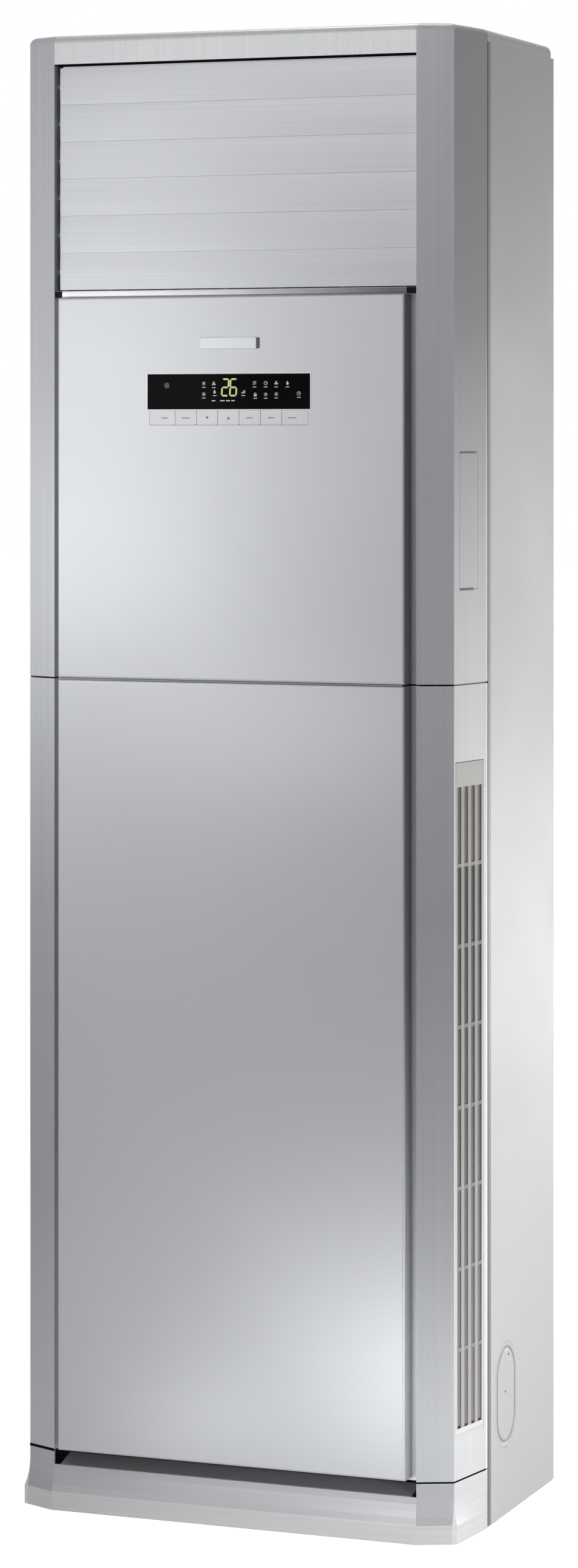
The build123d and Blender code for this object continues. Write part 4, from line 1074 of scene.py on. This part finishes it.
louvre_silver = finishes["louvre_plastic"]
for number in range(1, 7):
    riding = {"slot": "louvre_plastic", "body": f"louvre_{number}", "number": number}
    piece(f"louvre_trim_{number}", set_louvre_trim, louvre_silver, **riding)
# Black for painted shadows: in the outlet's roof gap and in the seams at the columns' feet
shadow_black = moulded_plastic(
    "shadow_black", tone(10, 10, 11), 0.9, grain=0.002, depth=0.0002, Specular_IOR_Level=0.05
)
piece("outlet_shadow", set_outlet_shadow, shadow_black, "duct_plastic")


# Sill ---------------------------------------------------------------------------------


def set_sill_strip(shape):
    """Polished strip on the face of the sill, its upper and lower edges eased."""
    low, high = 1538.2, 1545.0
    eased, crest = Y_SILL - 0.5, Y_SILL - 0.6
    profile = [(Y_SILL, low), (eased, low + 0.5), (crest, low + 2.5)]
    profile += [(crest, high - 2.5), (eased, high - 0.5), (Y_SILL, high)]
    rail(shape, profile, -233.5, 229.5)


def set_sill_ends(shape):
    """Dark piece at each end of the sill, with a raised rim and a hollow face; it paints the shade
    of a drain hole.
    """
    foot, low, high, head = 1537.2, 1539.4, 1543.2, 1545.3
    for left, right in ((-243.0, -234.0), (230.0, 243.0)):
        for rise, *edges in (
            (0.7, left, right, foot, low),
            (0.7, left, right, high, head),
            (0.7, left, left + 1.0, low, high),
            (0.7, right - 1.0, right, low, high),
            (0.2, left + 1.0, right - 1.0, low, high),
        ):
            prism(shape, box_outline(*edges), Y_SILL - rise, Y_SILL - 0.05)


sill_lacquer = polished_strip("polished_strip")
# Black painted shade of a drain hole at each end of the sill
drain_hole_shade = moulded_plastic("drain_hole_shade", tone(12, 12, 14), 0.5, Specular_IOR_Level=0.08)
piece("sill_strip", set_sill_strip, sill_lacquer, "badge_metal")
piece("sill_ends", set_sill_ends, drain_hole_shade, "dark_window")


# Lid, plinth and pipe covers ----------------------------------------------------------


def set_lid_screws(shape):
    """Two small screws in each side edge of the lid, half way round its 10 mm radius."""
    inset = 10 * (1 - 0.707)
    for side in (-1, 1):
        for y in (-32.0, 126.0):
            seat = Matrix.Translation((side * (HALF_WIDTH - inset), y, HEIGHT - inset))
            turn = Matrix.Rotation(side * math.pi / 4, 4, "Y")
            screw_head(shape, seat @ turn, radius=2.9, rise=0.8)


def set_ledge(shape):
    """Rolled ledge inside the plinth's upper edge, seen through the slot under the panel."""
    profile = [(-178.7, 56.2), (-178.7, 57.4), (-163.0, 61.4), (-148.0, 66.2), (-145.0, 65.6)]
    profile += [(-146.0, 64.6), (-150.0, 63.4), (-163.0, 59.6)]
    rail(shape, profile, -236.0, 236.0)


# Which way points of a column's plan move, as (x, y), for each millimetre outwards. The corner
# between the bevel and the strip moves along the line that halves it
BEVEL_OUT = (0.409, -0.912)
CORNER_OUT = (0.895, -0.695)


def column_line(out):
    """Plan of a column's bevel and strip as (x, y), moved outwards by out."""
    start = (X_BEVEL_IN + 0.2 + BEVEL_OUT[0] * out, Y_FACE + 0.09 + BEVEL_OUT[1] * out)
    corner = (X_BEVEL_OUT + CORNER_OUT[0] * out, Y_BEVEL + CORNER_OUT[1] * out)
    end = strip_place(STRIP_SHOWN, 0, out)
    return [start, corner, (end.x, end.y)]


def set_foot_seam_shadow(shape, side):
    """Black bead laid over the seam between a column and the plinth: a painted shadow in the seam.
    """
    low, high = (73.6, 75.7) if side == 1 else (73.0, 76.5)
    levels = []
    for z, out in ((low, 0.1), (low + 0.4, 0.3), (high - 0.4, 0.3), (high, 0.1)):
        ring = column_line(out) + list(reversed(column_line(0.03)))
        levels.append([(side * x, y, z) for x, y in ring])
    closed_rings(shape, levels)


def set_pips(shape, side):
    """Two shallow round pips on a pipe cover."""
    for y, z in ((-5.6, 156.0), (6.7, 201.0)):
        circle = ring_outline(y, z, radius=1.6, sides=16)
        inner, outer = [
            [shape.verts.new((side * (HALF_WIDTH + out), *place)) for place in circle]
            for out in (-0.3, 0.0)
        ]
        shape.faces.new(outer)
        band(shape, inner, outer)


ledge_plastic = moulded_plastic("ledge_plastic", tone(150, 148, 152), 0.6)
pip_ink = moulded_plastic("knock_out_pip", tone(150, 150, 152), 0.5)
piece("lid_screws", set_lid_screws, finishes["screw_steel"], "screw_steel")
piece("plinth_ledge", set_ledge, ledge_plastic, "plinth_plastic")
for side, hand in SIDES:
    piece(f"foot_seam_shadow_{hand}", set_foot_seam_shadow, shadow_black, "duct_plastic", side=side)
for side, hand in SIDES:
    piece(f"cover_pips_{hand}", set_pips, pip_ink, "cabinet_paint", side=side)


# Studio -------------------------------------------------------------------------------

FLOOR_WHITE = 0.84
WORLD_LIGHT = 0.04
FLOOR_HALF = 40

# Soft boxes round the cabinet: place, what each faces, its width and height, and its watts.
# The small ones stand close in front, and give the panels their bright head and foot.
LAMPS = {
    "rear_right_low": ((1.8, 3.2, 0.4), (0.3, 0, 0.4), (1.2, 0.7), 16.3),
    "rear_right": ((1.8, 3.2, 1.2), (0.3, 0, 1.2), (1.2, 0.7), 7.5),
    "right_foot": ((1.2, 0.2, 0.25), (0.3, 0, 0.4), (0.6, 0.4), 3.7),
    "right_foot_close": ((0.75, -0.5, 0.1), (0.3, -0.15, 0.08), (0.2, 0.12), 1.3),
    "left_front": ((-1.01, -2.28, 1.1), (0, -0.1, 0.88), (0.8, 0.7), 2.7),
    "left_close": ((-0.75, -0.55, 1.2), (-0.27, -0.17, 1.2), (0.25, 0.3), 1.05),
    "head": ((-0.2, -1.3, 2.1), (0, -0.19, 1.6), (0.8, 0.4), 2.1),
    "bevel_head": ((0.3, -0.6, 1.97), (0.262, -0.17, 1.85), (0.12, 0.1), 0.36),
    "panel_left_low": ((-0.45, -0.85, 1.2), (-0.23, -0.19, 1.2), (0.35, 0.25), 0.84),
    "panel_left": ((-0.45, -0.85, 1.5), (-0.23, -0.19, 1.5), (0.35, 0.25), 0.8),
    "panel_left_high": ((-0.45, -0.85, 1.8), (-0.23, -0.19, 1.8), (0.35, 0.25), 0.56),
    "panel_middle": ((0, -0.85, 1.6), (0, -0.19, 1.6), (0.35, 0.9), 0.43),
    "panel_waist": ((-0.1, -0.68, 0.97), (-0.1, -0.19, 0.97), (0.4, 0.16), 0.22),
    "panel_foot": ((0, -0.85, 0.12), (0, -0.19, 0.12), (0.35, 0.25), 0.7),
    "panel_foot_right": ((0.2, -0.55, 0.13), (0.19, -0.19, 0.15), (0.26, 0.14), 0.3),
    "plinth_left": ((-0.16, -0.5, 0.06), (-0.14, -0.19, 0.03), (0.16, 0.06), 0.05),
    "floor_glow": ((0, -0.7, 0.02), (0, -0.699, 1), (0.6, 0.45), 0.57),
    "left_side": ((-2.0, 1.8, 1.2), (-0.3, 0, 1.1), (1.2, 1.2), 20.0),
    "rear": ((0, 3.2, 1.4), (0, 0.2, 1.0), (1.5, 1.2), 20.0),
    "lid": ((0, 0.3, 3.2), (0, 0.1, 1.8), (1.0, 0.6), 8.0),
}


def seen(network):
    """1 where a surface is looked at, straight or by way of metal or glass, and 0 elsewhere."""
    ways = ("Is Camera Ray", "Is Glossy Ray", "Is Transmission Ray")
    straight, mirrored, through = [
        network.node("ShaderNodeLightPath", output=way) for way in ways
    ]
    return (straight + mirrored + through).clipped()


def pale_floor():
    """Diffuse floor that keeps the shadow; the studio's white is laid over it where it's seen."""
    material = bpy.data.materials.new("floor_paper")
    floor = Network(material)
    floor.tree.nodes.clear()
    matte = floor.node("ShaderNodeBsdfDiffuse", {}, {"Color": (0.8, 0.8, 0.8, 1)})
    away = floor.length(floor.node("ShaderNodeTexCoord", output="Object"))
    strength = seen(floor) * (FLOOR_WHITE + away.rise(0.6, 0.5) * 0.14)
    white = floor.node("ShaderNodeEmission", {}, {"Strength": strength})
    both = floor.node("ShaderNodeAddShader", {}, {0: matte, 1: white})
    floor.node("ShaderNodeOutputMaterial", {}, {"Surface": both})
    return material


def pale_world():
    """Soft fill from all round, and plain white behind the cabinet."""
    studio = bpy.data.worlds.new("studio")
    bpy.context.scene.world = studio
    around = Network(studio)
    around.tree.nodes.clear()
    fill = {"Color": (0.97, 0.98, 1, 1), "Strength": WORLD_LIGHT}
    soft = around.node("ShaderNodeBackground", {}, fill)
    white = around.node("ShaderNodeBackground", {}, {"Color": WHITE, "Strength": 1.0})
    either = around.node("ShaderNodeMixShader", {}, {0: seen(around), 1: soft, 2: white})
    around.node("ShaderNodeOutputWorld", {}, {"Surface": either})


def soft_box(name, place, aim, size, watts):
    light = bpy.data.lights.new(name, "AREA")
    light.shape = "RECTANGLE"
    light.size, light.size_y = size
    light.energy = watts
    lamp = bpy.data.objects.new(name, light)
    lamp.location = place
    lamp.rotation_euler = (Vector(aim) - Vector(place)).to_track_quat("-Z", "Y").to_euler()
    lamp.visible_camera = False
    bpy.context.scene.collection.objects.link(lamp)


paper = bpy.data.meshes.new("studio_floor")
corners = [(-FLOOR_HALF, -FLOOR_HALF, 0), (FLOOR_HALF, -FLOOR_HALF, 0)]
corners += [(FLOOR_HALF, FLOOR_HALF, 0), (-FLOOR_HALF, FLOOR_HALF, 0)]
paper.from_pydata(corners, [], [(0, 1, 2, 3)])
paper.materials.append(pale_floor())
floor = bpy.data.objects.new("studio_floor", paper)
bpy.context.scene.collection.objects.link(floor)
pale_world()
for name, settings in LAMPS.items():
    soft_box(name, *settings)

# The camera stands where the photo's own stood, as fitted to the cabinet's corners
lens = bpy.data.cameras.new("photo_camera")
lens.lens = 99.69
lens.sensor_width = 36.0
lens.shift_y = -0.2203
camera = bpy.data.objects.new("photo_camera", lens)
camera.location = (2.0195, -5.2162, 1.3586)
camera.rotation_euler = (math.radians(90), 0, math.radians(21.11))
bpy.context.scene.collection.objects.link(camera)
bpy.context.scene.camera = camera
bpy.context.scene.view_settings.view_transform = "Standard"
